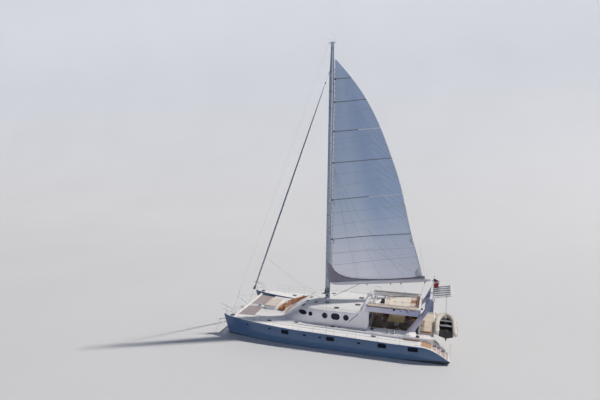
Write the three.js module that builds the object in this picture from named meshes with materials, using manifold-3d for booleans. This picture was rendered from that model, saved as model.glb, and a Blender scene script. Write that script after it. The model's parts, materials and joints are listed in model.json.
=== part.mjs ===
// A 25 m sailing catamaran afloat with its mainsail set, its boom eased to starboard and its
// tender hanging from the frame behind the stern arch.
// Millimetres. +X to the bow, +Y to port, +Z up. The origin is on the centreline, amidships, at
// the waterline.
import * as THREE from 'three';
import { mergeVertices } from 'three/addons/utils/BufferGeometryUtils.js';
import Module from 'manifold-3d';

const wasm = await Module();
wasm.setup();

// Driving dimensions
const GAP = 0.3; // between pieces that touch
const HULL_Y = 4600; // each hull's centreline
const DECK_Z = 1900; // bridge deck, and the raised deck beside the saloon
const CABIN_FLOOR_Z = 1350;
const BRIDGE_BOTTOM_Z = 850;
const BRIDGE_HALF = 4300; // to the riser on each hull's deck
const BRIDGE_FRONT_X = 9300;
const BRIDGE_AFT_X = -10900;
const WELL_HALF = 3200; // half width of the recess that holds saloon and cockpit
const WELL_FRONT_X = 4600;
const CABIN_AFT_X = -4100;
const COCKPIT_AFT_X = -9300;
const WALL = 90; // saloon wall
const SHOULDER_Z = 3500; // where the saloon's sides turn into its roof
const ROOF_Z = 3650;
const MAST_X = 1250;
const MAST_TOP_Z = 33000;
const MAST_RAKE = THREE.MathUtils.degToRad(1.17);
const HOUNDS_Z = 29700; // where the forestay meets the mast
const SHROUDS_Z = 29300;
const GOOSENECK_Z = 5500;
const GOOSENECK_AFT = 400; // from the mast's axis to the gooseneck pin
const BOOM_LENGTH = 11600;
const BOOM_RISE = 690; // square to the mast, over the boom's length
const BOOM_ANGLE = THREE.MathUtils.degToRad(15.5); // eased to starboard
const HARDTOP_AFT_X = -9500;
const HARDTOP_BOTTOM_Z = 3640;
const HARDTOP_FLOOR_Z = 3900;
const HARDTOP_RIM_Z = 4280;
const HARDTOP_HALF = 3400;
const BEAM_X = 11500; // forward crossbeam
const BEAM_Z = 1840;
const BEAM_R = 165;
const FAR = 40000; // beyond every part of the boat, for cuts

// Colours as they look in daylight
const finish = (color, roughness, metalness = 0) =>
  new THREE.MeshStandardMaterial({ color, roughness, metalness });
const WHITE = finish(0xe9e6e3, 0.35);
const SLATE = finish(0x5f7390, 0.25);
const SAILCLOTH = finish(0xc9d0da, 0.7);
const GREY_CLOTH = finish(0x6a6874, 0.85);
const ALLOY = finish(0xb9bfc6, 0.35, 0.6);
const STEEL = finish(0xc8ccd0, 0.2, 0.9);
const DARK_GLASS = finish(0x15181f, 0.08);
const CUSHION = finish(0xd9c9b6, 0.85);
const DARK_SEAT = finish(0x2b2528, 0.7);
const TEAK = finish(0x8a5a3c, 0.6);
const NET = finish(0x8f8488, 0.9);
const TUBE_CLOTH = finish(0xcfc6ba, 0.6);
const BLACK = finish(0x1c1c20, 0.5);
const BRONZE = finish(0x9c7a3f, 0.3, 0.9);

// Solids
function solid(geometry) {
  const bare = geometry.index ? geometry.clone() : geometry;
  bare.deleteAttribute('normal');
  bare.deleteAttribute('uv');
  const merged = mergeVertices(bare, 1e-3);
  return new wasm.Manifold(new wasm.Mesh({
    numProp: 3,
    vertProperties: merged.attributes.position.array,
    triVerts: new Uint32Array(merged.index.array),
  }));
}

function geometryOf(shape) {
  const mesh = shape.getMesh();
  return new THREE.BufferGeometry()
    .setAttribute('position', new THREE.BufferAttribute(mesh.vertProperties, 3))
    .setIndex(new THREE.BufferAttribute(mesh.triVerts, 1))
    .toNonIndexed();
}

function box(x0, x1, y0, y1, z0, z1) {
  const made = new THREE.BoxGeometry(x1 - x0, y1 - y0, z1 - z0);
  return solid(made.translate((x0 + x1) / 2, (y0 + y1) / 2, (z0 + z1) / 2));
}

const vec = (x, y, z) => new THREE.Vector3(x, y, z);

// A round bar between two points.
function rod(from, to, radius, sides = 8, endRadius = radius) {
  const along = to.clone().sub(from);
  const made = new THREE.CylinderGeometry(endRadius, radius, along.length(), sides);
  made.applyQuaternion(
    new THREE.Quaternion().setFromUnitVectors(vec(0, 1, 0), along.clone().normalize()));
  return solid(made.translate(...from.clone().add(to).multiplyScalar(0.5)));
}

// A closed skin over rings of points, each ring with the same number, closed by fans.
function loft(rings) {
  const points = rings.flat();
  const n = rings[0].length;
  const faces = [];
  for (let r = 0; r + 1 < rings.length; r += 1) {
    for (let i = 0; i < n; i += 1) {
      const [a, b] = [r * n + i, r * n + ((i + 1) % n)];
      faces.push(a, b, a + n, b, b + n, a + n);
    }
  }
  for (const [ring, turned] of [[0, true], [rings.length - 1, false]]) {
    const centre = rings[ring].reduce((sum, p) => sum.add(p), vec(0, 0, 0)).divideScalar(n);
    points.push(centre);
    for (let i = 0; i < n; i += 1) {
      const [a, b] = [ring * n + i, ring * n + ((i + 1) % n)];
      faces.push(points.length - 1, ...(turned ? [b, a] : [a, b]));
    }
  }
  const made = new THREE.BufferGeometry().setFromPoints(points).setIndex(faces);
  const shape = solid(made);
  if (shape.volume() > 0) return shape;
  return loft(rings.map((ring) => [...ring].reverse()));
}

// A flat outline in X and Z, from y0 to y1.
function plateXZ(outline, y0, y1) {
  const shape = new THREE.Shape(outline.map(([x, z]) => new THREE.Vector2(x, z)));
  const made = new THREE.ExtrudeGeometry(shape, { depth: y1 - y0, bevelEnabled: false });
  return solid(made.rotateX(Math.PI / 2).translate(0, y1, 0));
}

const join = (...shapes) => shapes.reduce((sum, shape) => sum.add(shape));
const mirrorY = (shape) => shape.mirror([0, 1, 0]);
const largest = (shape) => shape.decompose().sort((a, b) => b.volume() - a.volume())[0];

// The port half of a shape and its mirror image as one body.
function symmetric(shape) {
  const half = shape.intersect(box(-FAR, FAR, 0, FAR, -FAR, FAR));
  return half.add(mirrorY(half));
}

function value(table, at, key) {
  // Straight lines between the rows of a table that is sorted by its first column.
  const last = table.length - 1;
  if (at <= table[0][0]) return table[0][key];
  if (at >= table[last][0]) return table[last][key];
  const row = table.findIndex((r) => r[0] > at);
  const [a, b] = [table[row - 1], table[row]];
  return a[key] + ((b[key] - a[key]) * (at - a[0])) / (b[0] - a[0]);
}

const boat = new THREE.Group();

function piece(name, shape, material, group = boat) {
  const mesh = new THREE.Mesh(geometryOf(shape), material);
  mesh.name = name;
  group.add(mesh);
  return mesh;
}

// Both sides of a pair, from the shape of the port one.
function pair(name, shape, material) {
  piece(`${name}_port`, shape, material);
  piece(`${name}_starboard`, mirrorY(shape), material);
}

// Hulls
// x, half width at the deck, half width at the waterline, deck height, keel depth, stem slant
const STATIONS = [
  [-12500, 1000, 900, 400, 150, 0],
  [-12150, 1030, 930, 620, 30, 0],
  [-11600, 1075, 960, 970, -170, 0],
  [-10800, 1145, 990, 1380, -400, 0],
  [-10200, 1195, 1010, 1560, -520, 0],
  [-9700, 1225, 1025, 1620, -590, 0],
  [-7500, 1250, 1060, 1630, -840, 0],
  [-4000, 1250, 1080, 1700, -1000, 0],
  [0, 1250, 1080, 1770, -1020, 0],
  [3500, 1230, 1040, 1830, -1020, 0],
  [6000, 1150, 920, 1930, -1000, 0],
  [8000, 980, 730, 2020, -950, 0.03],
  [9600, 725, 480, 2065, -880, 0.1],
  [11000, 450, 260, 2130, -770, 0.2],
  [11900, 250, 130, 2190, -660, 0.26],
  [12500, 95, 55, 2270, -540, 0.28],
];
const hullDeckAt = (x) => value(STATIONS, x, 3);

// Share of the half width and of the depth, down the side from the chine to the keel.
const BILGE = [[1, 0], [0.93, 0.4], [0.72, 0.75], [0.36, 0.95], [0, 1]];

function hullRing([x, deckHalf, waterHalf, deckZ, keelZ, slant], grow) {
  const waterZ = Math.max(0, keelZ + 60);
  const side = [
    [deckHalf, deckZ + grow],
    [deckHalf - (deckHalf - waterHalf) * 0.35, waterZ + (deckZ - waterZ) * 0.5],
    ...BILGE.map(([w, d]) => [waterHalf * w, waterZ + (keelZ - waterZ) * d]),
  ];
  const other = side.slice(0, -1).reverse().map(([y, z]) => [-y, z]);
  return [...side, ...other].map(([y, z]) =>
    vec(x - slant * (deckZ - z), y + Math.sign(y) * grow, z));
}

const STEP_HALF = 920; // the stern steps, between rims
const STEPS = [[-10800, 1120], [-11230, 870], [-11660, 610], [-12090, 370]]; // front x, tread z
const RUDDER_X = -10300;
const RUDDER_TOP_Z = -660;
const BOSS_BOTTOM_Z = -640;
const PROP_X = -8450;
const PROP_Z = -1200;
const HATCH_X = 11430; // foredeck locker
const LOCKER_FLOOR_Z = 1500;

function hullShape(grow = 0) {
  let hull = loft(STATIONS.map((row) => hullRing(row, grow)));
  if (grow) return hull;
  for (const [x, z] of STEPS) {
    hull = hull.subtract(box(-FAR, x, -STEP_HALF, STEP_HALF, z, FAR));
  }
  // Shallow keel, rudder boss and the leg that carries the propeller.
  // keelTop: x, half width; below it: height, share of that outline
  const keelTop = [[2600, 140], [1900, 190], [-1500, 190], [-2300, 110]];
  const keel = loft([[-600, 1], [-1560, 0.8], [-1720, 0.5]].map(([z, share]) => {
    const edge = keelTop.map(([x, half]) => vec(150 + (x - 150) * (0.7 + 0.3 * share), half * share, z));
    return [...edge, ...edge.map((p) => vec(p.x, -p.y, z)).reverse()];
  }));
  const boss = rod(vec(RUDDER_X, 0, BOSS_BOTTOM_Z), vec(RUDDER_X, 0, 0), 95, 16);
  const leg = box(PROP_X + 60, PROP_X + 330, -45, 45, PROP_Z, -500);
  const gearcase = rod(vec(PROP_X, 0, PROP_Z), vec(PROP_X + 430, 0, PROP_Z), 85, 16, 60);
  hull = join(hull, keel, boss, leg, gearcase);
  // Foredeck locker, its rim a plain hole that its lid covers.
  return hull.subtract(box(HATCH_X - 190, HATCH_X + 170, -160, 160, LOCKER_FLOOR_Z, FAR));
}

const hull = hullShape();
const hullClear = hullShape(GAP);
pair('hull', hull.translate([0, HULL_Y, 0]), SLATE);
const portClear = hullClear.translate([0, HULL_Y, 0]);
const hulls = join(portClear, mirrorY(portClear));

// Bridge deck with the recess for saloon and cockpit
const bridgeSide = [
  [BRIDGE_AFT_X, DECK_Z], [BRIDGE_AFT_X, 1250], [-10250, BRIDGE_BOTTOM_Z],
  [7300, BRIDGE_BOTTOM_Z], [8700, 1250], [BRIDGE_FRONT_X, 1600], [BRIDGE_FRONT_X, DECK_Z],
];
const bridge = plateXZ(bridgeSide, -BRIDGE_HALF, BRIDGE_HALF)
  .subtract(hulls)
  .subtract(box(COCKPIT_AFT_X, WELL_FRONT_X, -WELL_HALF, WELL_HALF, CABIN_FLOOR_Z, FAR));
piece('bridge_deck', largest(bridge), WHITE);

// Foredeck: crossbeam, walkway, bowsprit and trampolines
const beam = rod(vec(BEAM_X, -4600, BEAM_Z), vec(BEAM_X, 4600, BEAM_Z), BEAM_R, 16).subtract(hulls);
piece('crossbeam', largest(beam), WHITE);
const WALKWAY_HALF = 300;
const NET_Z = 1780;
const NET_THICK = 20;
const walkway = box(BRIDGE_FRONT_X + GAP, BEAM_X - 60, -WALKWAY_HALF, WALKWAY_HALF, 1650, 1850)
  .subtract(rod(vec(BEAM_X, -4600, BEAM_Z), vec(BEAM_X, 4600, BEAM_Z), BEAM_R + 1, 16));
piece('walkway', walkway, WHITE);
const SPRIT_TIP = vec(13000, 0, 2850);
const spritRoot = vec(BEAM_X + 60, 0, BEAM_Z + 40);
piece('bowsprit', rod(spritRoot, SPRIT_TIP, 75, 12, 60)
  .subtract(rod(vec(BEAM_X, -900, BEAM_Z), vec(BEAM_X, 900, BEAM_Z), BEAM_R + 2 * GAP, 16)), ALLOY);
// The port net's outline: x, y
const netOutline = [[BRIDGE_FRONT_X + 60, WALKWAY_HALF + 60], [BEAM_X - 220, WALKWAY_HALF + 60],
  [BEAM_X - 220, 4000], [BRIDGE_FRONT_X + 60, 3720]];
const netShape = new THREE.ExtrudeGeometry(
  new THREE.Shape(netOutline.map(([x, y]) => new THREE.Vector2(x, y))),
  { depth: NET_THICK, bevelEnabled: false });
// Lacing strips carry the net on the walkway, the beam and the bridge deck.
const net = join(
  solid(netShape.translate(0, 0, NET_Z)),
  box(BRIDGE_FRONT_X + GAP, BRIDGE_FRONT_X + 200, 900, 3300, NET_Z - 5, NET_Z + 15),
  box(BRIDGE_FRONT_X + 300, BEAM_X - 300, WALKWAY_HALF + GAP, WALKWAY_HALF + 200, NET_Z - 5, NET_Z + 15),
  box(BEAM_X - 400, BEAM_X, 900, 3600, NET_Z - 5, NET_Z + 15),
).subtract(rod(vec(BEAM_X, 0, BEAM_Z), vec(BEAM_X, 4600, BEAM_Z), BEAM_R + 1, 16));
pair('trampoline', largest(net), NET);

// Saloon: a hollow shell with rounded sides, its windows cut
// Its port outline at the deck, at the shoulder and round the top, from aft to the nose: x, y
const CABIN_FOOT = [[CABIN_AFT_X, 3600], [2600, 3600], [3700, 3530], [4600, 3350], [5400, 2850],
  [5900, 2300], [6180, 1500], [6300, 700]];
const CABIN_SHOULDER = [[CABIN_AFT_X, 3420], [1200, 3420], [2000, 3300], [2600, 3000], [3100, 2450],
  [3400, 1900], [3600, 1200], [3700, 550]];
const CABIN_CROWN = [[CABIN_AFT_X, 2000], [1200, 2000], [1650, 1850], [2000, 1600], [2250, 1300],
  [2400, 1000], [2480, 650], [2500, 350]];

function insetOutline(outline, inset) {
  const [noseX, noseY] = outline[outline.length - 1];
  const line = [...outline, [noseX, -noseY]].map(([x, y]) => new THREE.Vector2(x, y));
  const normals = line.slice(1).map((p, i) =>
    new THREE.Vector2(line[i].y - p.y, p.x - line[i].x).normalize());
  return outline.map(([x, y], i) => {
    const [a, b] = [normals[Math.max(0, i - 1)], normals[i]];
    const move = inset / (1 + a.dot(b));
    return [x - (a.x + b.x) * move, y - (a.y + b.y) * move];
  });
}

// The saloon's block, drawn in by the inset and run on below the deck and aft by the overrun.
function cabinSolid(inset, overrun = 0) {
  const levels = [[CABIN_FOOT, DECK_Z + (overrun ? 0 : GAP)], [CABIN_SHOULDER, SHOULDER_Z - inset],
    [CABIN_CROWN, ROOF_Z - inset]];
  if (overrun) levels.unshift([CABIN_FOOT, DECK_Z - overrun]);
  const rings = levels.map(([outline, z]) => {
    const half = insetOutline(outline, inset).map(([x, y], i) => vec(i ? x : x - overrun, y, z));
    return [...half, ...half.map((p) => vec(p.x, -p.y, z)).reverse()];
  });
  return symmetric(loft(rings));
}

// Side windows: centre x, centre z, length, height, and whether it narrows forward
const SIDE_WINDOWS = [
  [3375, 2880, 850, 350, true],
  [2360, 2880, 420, 420, false],
  [680, 2880, 600, 600, false],
  [-520, 2880, 950, 650, false],
  [-1710, 2880, 580, 580, false],
];

function windowCut([x, z, length, height, tapers]) {
  const sides = 20;
  const outline = [];
  for (let i = 0; i < sides; i += 1) {
    const turn = ((i + 0.5) / sides) * 2 * Math.PI;
    const [c, s] = [Math.cos(turn), Math.sin(turn)];
    const straight = Math.max(0, length - height) / 2;
    const taper = tapers ? 0.35 + 0.65 * (1 - (c + 1) / 2) : 1;
    outline.push([x + Math.sign(c) * straight + (c * height) / 2, z + ((s * height) / 2) * taper]);
  }
  return plateXZ(outline, 2300, 4200);
}

const DOOR_Y0 = -350;
const DOOR_Y1 = -1450;
const DOOR_TOP_Z = 3300;
const cuts = [];
for (const row of SIDE_WINDOWS) cuts.push(windowCut(row), mirrorY(windowCut(row)));
const shell = cuts.reduce((sum, cut) => sum.subtract(cut), cabinSolid(0).subtract(cabinSolid(WALL, 500)));
piece('saloon_shell', shell, WHITE);
const liner = cabinSolid(WALL + GAP, 500).subtract(cabinSolid(WALL + 18, 600));
const glass = largest(liner.intersect(box(-2100, 3950, 2300, 4000, 2500, 3260)));
pair('glazing', glass, DARK_GLASS);

// Aft bulkhead with its doorway and two windows, and the sliding door on its aft side
const BULKHEAD = 60;
const doorway = box(-5000, 0, DOOR_Y1, DOOR_Y0, CABIN_FLOOR_Z + 60, DOOR_TOP_Z);
const bulkhead = cabinSolid(WALL + GAP, 500)
  .intersect(box(CABIN_AFT_X, CABIN_AFT_X + BULKHEAD, -4000, 4000, DECK_Z + GAP, 4000))
  .add(box(CABIN_AFT_X, CABIN_AFT_X + BULKHEAD, GAP - WELL_HALF, WELL_HALF - GAP,
    CABIN_FLOOR_Z + GAP, DECK_Z + 50))
  .subtract(doorway)
  .subtract(box(-5000, 0, 500, 2700, 2350, 3150))
  .subtract(box(-5000, 0, -3200, -2750, 2350, 3150));
const DOOR_RAIL_Z = DOOR_TOP_Z + 40;
const rail = box(CABIN_AFT_X - 80, CABIN_AFT_X + 1, -2650, -250, DOOR_RAIL_Z, DOOR_RAIL_Z + 50);
piece('aft_bulkhead', bulkhead.add(rail), WHITE);
// It stands open, to starboard of the doorway, and its two hangers run under the rail.
const DOOR_OPEN = 1100;
const doorPanel = join(
  box(CABIN_AFT_X - 65, CABIN_AFT_X - 20, DOOR_Y1 - 40 - DOOR_OPEN, DOOR_Y0 + 40 - DOOR_OPEN,
    CABIN_FLOOR_Z + 30, DOOR_RAIL_Z - 6),
  box(CABIN_AFT_X - 60, CABIN_AFT_X - 25, -2500, -2400, DOOR_RAIL_Z - 7, DOOR_RAIL_Z - GAP),
  box(CABIN_AFT_X - 60, CABIN_AFT_X - 25, -1600, -1500, DOOR_RAIL_Z - 7, DOOR_RAIL_Z - GAP),
);
piece('saloon_door', doorPanel, DARK_GLASS);

// Cockpit: coamings, bench, sofas and table
// The coaming's section: y, z, with a fairing that falls to the edge of the raised deck
const COAMING = [[3350, DECK_Z + GAP], [4250, DECK_Z + GAP], [4250, 1950], [3600, 2150], [3350, 2150]];
const coaming = loft([COCKPIT_AFT_X + 160, CABIN_AFT_X - 60].map((x) =>
  COAMING.map(([y, z]) => vec(x, y, z))));
pair('coaming', coaming, WHITE);
const bench = box(COCKPIT_AFT_X - 150, COCKPIT_AFT_X - 30, -2900, 2900, DECK_Z + GAP, 2300);
piece('aft_backrest', bench, WHITE);
const sofa = join(
  box(-8900, -5200, 2450, WELL_HALF - GAP, CABIN_FLOOR_Z + GAP, 1800),
  box(-8900, -5200, 3000, WELL_HALF - GAP, 1799, 2150),
);
pair('sofa', sofa, DARK_SEAT);
const table = join(
  box(-7700, -5900, -1100, 1100, 2060, 2100),
  box(-7000, -6600, -500, 500, CABIN_FLOOR_Z + GAP, 2070),
);
piece('cockpit_table', table, TEAK);

// Stern arch: raking legs, the bridge between them and the frame over the tender
// centre of the leg at each level, half length fore and aft, half thickness
const LEG = [
  [-8550, 3475, 2150 + GAP, 400, 120],
  [-10000, 2400, 4000, 255, 105],
  [-10600, 2280, 5400, 175, 80],
];

function legShape(grow) {
  const rings = LEG.map(([x, y, z, long, thick], i) =>
    [[-1, -1], [1, -1], [1, 1], [-1, 1]].map(([a, b]) =>
      vec(x + a * (long + grow), y + b * (thick + grow), z + (i === 0 ? -grow : grow))));
  return loft(rings);
}

const leg = legShape(0);
const legClear = join(legShape(GAP), mirrorY(legShape(GAP)));
pair('arch_leg', leg, WHITE);
const archBridge = box(-10800, -9900, -2500, 2500, 3900, 4010).subtract(legClear);
piece('arch_bridge', largest(archBridge), WHITE);

// The frame rises aft: its front bar rests on the legs, its aft bar carries the tender's falls.
const FRAME_FRONT = vec(-10600, 0, 5400 + GAP + 60);
const FRAME_AFT = vec(-12600, 0, 5850);
const FRAME_HALF = 1850;
const FALL_AT = 0.75; // share of the frame's length where the tender hangs
const frameAt = (t, y, lift = 0) => FRAME_FRONT.clone().lerp(FRAME_AFT, t).add(vec(0, y, lift));
const frame = join(
  rod(frameAt(0, -2380), frameAt(0, 2380), 60, 12),
  rod(frameAt(1, -FRAME_HALF - 60), frameAt(1, FRAME_HALF + 60), 60, 12),
  rod(frameAt(0, -FRAME_HALF), frameAt(1, -FRAME_HALF), 45, 10),
  rod(frameAt(0, FRAME_HALF), frameAt(1, FRAME_HALF), 45, 10),
  rod(frameAt(FALL_AT, -FRAME_HALF), frameAt(FALL_AT, FRAME_HALF), 35, 10),
);
piece('tender_frame', frame, ALLOY);
const PANELS = 5;
const PANEL_PITCH = (2 * FRAME_HALF) / PANELS;
const slab = (t0, t1, y0, y1, lift, thick) => loft([t0, t1].map((t) => [
  frameAt(t, y0, lift), frameAt(t, y1, lift), frameAt(t, y1, lift + thick), frameAt(t, y0, lift + thick)]));
let panels = slab(0.08, 0.14, -FRAME_HALF, FRAME_HALF, 45.3, 32)
  .add(slab(0.82, 0.87, -FRAME_HALF, FRAME_HALF, 45.3, 32));
for (let i = 0; i < PANELS; i += 1) {
  const y = -FRAME_HALF + (i + 0.5) * PANEL_PITCH;
  panels = panels.add(slab(0.05, 0.95, y - 230, y + 230, 76, 35));
}
piece('solar_panels', panels, DARK_GLASS);

// Tender, lying athwart with its bow to starboard, hanging from two falls
const TENDER_X = -12100;
const TENDER_TUBE_R = 265;
const TENDER_HALF = 890; // to the tube's axis
// y, share of the half width, height of the tube's axis, from the stern to the shoulder of the bow
const TENDER_TUBE = [[3500, 1, 2270], [1900, 1, 2300], [400, 0.98, 2350], [-300, 0.86, 2420],
  [-850, 0.6, 2510]];
const tubeSide = TENDER_TUBE.map(([y, out, z]) => vec(TENDER_X + TENDER_HALF * out, y, z));
const tubePath = [...tubeSide, vec(TENDER_X, -1290, 2610),
  ...tubeSide.map((p) => vec(2 * TENDER_X - p.x, p.y, p.z)).reverse()];

function tube(points, radius, sides, steps) {
  const outline = new THREE.Shape();
  outline.absarc(0, 0, radius, 0, 2 * Math.PI);
  return solid(new THREE.ExtrudeGeometry(outline, {
    curveSegments: Math.ceil(sides / 2), steps, extrudePath: new THREE.CatmullRomCurve3(points),
  }));
}

const tenderTube = tube(tubePath, TENDER_TUBE_R, 12, 30);
piece('tender_tube', tenderTube, TUBE_CLOTH);
// y, half width, floor height, keel height
const TENDER_STATIONS = [[3300, 720, 2130, 1770], [800, 720, 2170, 1790], [-300, 600, 2260, 1930],
  [-950, 300, 2390, 2210]];
const tenderClear = tube(tubePath, TENDER_TUBE_R + 0.6, 12, 30);
const tenderBody = loft(TENDER_STATIONS.map(([y, half, floor, keel]) => [
  vec(TENDER_X - half, y, floor), vec(TENDER_X + half, y, floor),
  vec(TENDER_X + half, y, (floor + keel) / 2), vec(TENDER_X, y, keel),
  vec(TENDER_X - half, y, (floor + keel) / 2)]));
const tenderSeats = join(
  box(TENDER_X - 720, TENDER_X + 720, 1450, 1750, 2130, 2470),
  box(TENDER_X - 700, TENDER_X + 700, 150, 380, 2150, 2490),
  box(TENDER_X - 720, TENDER_X + 720, 3230, 3300, 2110, 2500),
);
piece('tender_hull', largest(tenderBody.add(tenderSeats).subtract(tenderClear)), BLACK);
const outboard = join(
  box(TENDER_X - 170, TENDER_X + 170, 3300 + GAP, 3680, 2400, 2800),
  box(TENDER_X - 70, TENDER_X + 70, 3360, 3550, 1670, 2410),
  box(TENDER_X - 30, TENDER_X + 30, 3360, 3680, 1570, 1740),
);
piece('tender_outboard', outboard, BLACK);
// name, y, height of the seat that it lifts the tender by
const FALLS = [['aft', 1600, 2470], ['bow', 265, 2490]];
for (const [name, y, seat] of FALLS) {
  const head = frameAt(FALL_AT, y);
  piece(`fall_${name}`, join(
    rod(vec(TENDER_X, y, seat + GAP), vec(TENDER_X, y, seat + 140), 45, 8),
    rod(vec(TENDER_X, y, seat + 100), vec(head.x, y, head.z - 35.3), 22, 8),
  ), ALLOY);
}

// Flybridge: the hardtop over the cockpit, its shoulders rising to a rim round the sunpad
// Its port section from the underside up: y, rise over the underside, and whether it lies on the rim
const HARDTOP_SECTION = [[2900, 0, 0], [HARDTOP_HALF, 170, 0], [HARDTOP_HALF, 250, 0], [2280, 0, 1],
  [0, 0, 1]];
const CABIN_CLEAR = cabinSolid(-GAP);

// Rings along x: x, height of the rim, share of the section's rise
function hardtopBlock(rows) {
  return symmetric(loft(rows.map(([x, rim, share]) => {
    const side = HARDTOP_SECTION.map(([y, rise, top]) =>
      vec(x, y, top ? rim : HARDTOP_BOTTOM_Z + rise * share));
    side.unshift(vec(x, 0, HARDTOP_BOTTOM_Z));
    return [...side, ...side.slice(1, -1).reverse().map((p) => vec(p.x, -p.y, p.z))];
  })));
}

const roofBlock = hardtopBlock([
  [HARDTOP_AFT_X, HARDTOP_RIM_Z, 1],
  [-3650, HARDTOP_RIM_Z, 1],
  [-3250, HARDTOP_BOTTOM_Z + 130, 0.4],
]);
// It closes the space between the saloon's shoulders and the hardtop's underside.
const roofSkirt = plateXZ([[CABIN_AFT_X, SHOULDER_Z - 60], [CABIN_AFT_X, HARDTOP_BOTTOM_Z + 175],
  [-3650, HARDTOP_BOTTOM_Z + 175], [-3251, HARDTOP_BOTTOM_Z + 75], [-3251, SHOULDER_Z - 60]], -3380, 3380);
const recess = box(HARDTOP_AFT_X + 250, -3900, -2080, 2080, HARDTOP_FLOOR_Z, FAR);
const hardtop = join(roofBlock, roofSkirt).subtract(recess).subtract(legClear).subtract(CABIN_CLEAR);
piece('hardtop', largest(hardtop), WHITE);
piece('sunpad', box(-9150, -5700, -2000, 2000, HARDTOP_FLOOR_Z + GAP, 4080), CUSHION);
const WHEEL_X = -4700;
const WHEEL_Y = 600;
const WHEEL_Z = 4480;
const helmConsole = join(
  box(-4560, -4250, 150, 1250, HARDTOP_FLOOR_Z + GAP, 4680),
  rod(vec(-4561 + 40, WHEEL_Y, WHEEL_Z), vec(WHEEL_X + 40 + GAP, WHEEL_Y, WHEEL_Z), 30, 16),
);
piece('helm_console', helmConsole, WHITE);
const rimRing = solid(new THREE.TorusGeometry(360, 18, 8, 28).rotateY(Math.PI / 2)
  .translate(WHEEL_X, WHEEL_Y, WHEEL_Z));
const wheelHub = rod(vec(WHEEL_X - 40, WHEEL_Y, WHEEL_Z), vec(WHEEL_X + 40, WHEEL_Y, WHEEL_Z), 60, 16);
let wheel = rimRing.add(wheelHub);
for (let i = 0; i < 5; i += 1) {
  const turn = (i / 5) * 2 * Math.PI;
  wheel = wheel.add(rod(vec(WHEEL_X, WHEEL_Y, WHEEL_Z),
    vec(WHEEL_X, WHEEL_Y + 360 * Math.sin(turn), WHEEL_Z + 360 * Math.cos(turn)), 12, 8));
}
piece('helm_wheel', wheel, STEEL);
const seat = join(
  box(-5600, -5150, 50, 1400, HARDTOP_FLOOR_Z + GAP, 4300),
  box(-5680, -5560, 50, 1400, HARDTOP_FLOOR_Z + GAP, 4700),
);
piece('helm_seat', seat, DARK_SEAT);

// Aft sunbathing pad across the stern
piece('aft_pad', box(-10850, -9550, -3200, 3200, DECK_Z + GAP, 2050), CUSHION);

// Bow pulpits, each with a seat plank
function pulpit() {
  // x, distance out from the hull's centreline, height above the deck
  const path = [[11250, 300, 900], [12200, 150, 1050], [12850, 0, 1100]];
  const bars = [];
  // Collars on the hull's centreline, where the bars of both sides meet: x, height
  for (const [x, z] of [[12850, hullDeckAt(12850) + 1100], [12780, hullDeckAt(12500) + 520]]) {
    bars.push(rod(vec(x, HULL_Y, z - 30), vec(x, HULL_Y, z + 30), 30, 12));
  }
  const side = (s) => path.map(([x, y, h]) => vec(x, HULL_Y + s * y, hullDeckAt(x) + h));
  for (const s of [-1, 1]) {
    const top = side(s);
    bars.push(rod(top[0], top[1], 20), rod(top[1], top[2], 20));
    bars.push(rod(vec(11250, HULL_Y + s * 300, hullDeckAt(11250) + GAP + 1.5), top[0], 20));
    bars.push(rod(vec(12150, HULL_Y + s * 130, hullDeckAt(12150) + GAP + 3.8), top[1], 20));
    const knee = vec(12200, HULL_Y + s * 140, hullDeckAt(12200) + 520);
    bars.push(rod(knee, vec(12780, HULL_Y, hullDeckAt(12500) + 520), 16));
  }
  bars.push(box(11850, 12300, HULL_Y - 190, HULL_Y + 190, hullDeckAt(12200) + 505, hullDeckAt(12200) + 545));
  return join(...bars);
}
pair('pulpit', pulpit(), STEEL);

// Lifelines: stanchions and two wires a side, a third of a metre apart
// x, distance in from the hull's widest line
const STANCHIONS = [[9600, 575], [8000, 320], [5900, 150], [3700, 80], [1400, 65], [-900, 60],
  [-3200, 60], [-5500, 60], [-7700, 60], [-9700, 85]];
const RAIL_HEIGHTS = [430, 850];
const SUNK = 10; // each stanchion starts this far inside the hull, which is then cut from it
function lifeline() {
  const foot = ([x, inset]) => vec(x, HULL_Y + 1250 - inset, hullDeckAt(x));
  const sunk = (row) => foot(row).setZ(foot(row).z - SUNK);
  const parts = STANCHIONS.map((row) => rod(sunk(row), foot(row).setZ(foot(row).z + 870), 16, 6));
  for (const height of RAIL_HEIGHTS) {
    for (let i = 0; i + 1 < STANCHIONS.length; i += 1) {
      const [a, b] = [foot(STANCHIONS[i]), foot(STANCHIONS[i + 1])];
      parts.push(rod(a.setZ(a.z + height), b.setZ(b.z + height), 8, 6));
    }
  }
  return join(...parts).subtract(hulls);
}
pair('lifeline', lifeline(), STEEL);

// Swimming ladder on the port stern, with its tall handrail
const LADDER_X = -12560;
const LADDER_Y = HULL_Y - 560;
const LADDER_R = 18;
const ladder = [box(LADDER_X, -12500 - GAP, LADDER_Y - 200, LADDER_Y + 200, 240, 300)];
for (const y of [LADDER_Y - 180, LADDER_Y + 180]) {
  ladder.push(rod(vec(LADDER_X, y, -650), vec(LADDER_X, y, 1500), LADDER_R));
}
for (const z of [-600, -300, 0]) {
  ladder.push(rod(vec(LADDER_X, LADDER_Y - 180, z), vec(LADDER_X, LADDER_Y + 180, z), LADDER_R));
}
ladder.push(rod(vec(LADDER_X, LADDER_Y - 198, 1490), vec(LADDER_X, LADDER_Y + 198, 1490), LADDER_R));
piece('swim_ladder', join(...ladder), STEEL);

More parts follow.
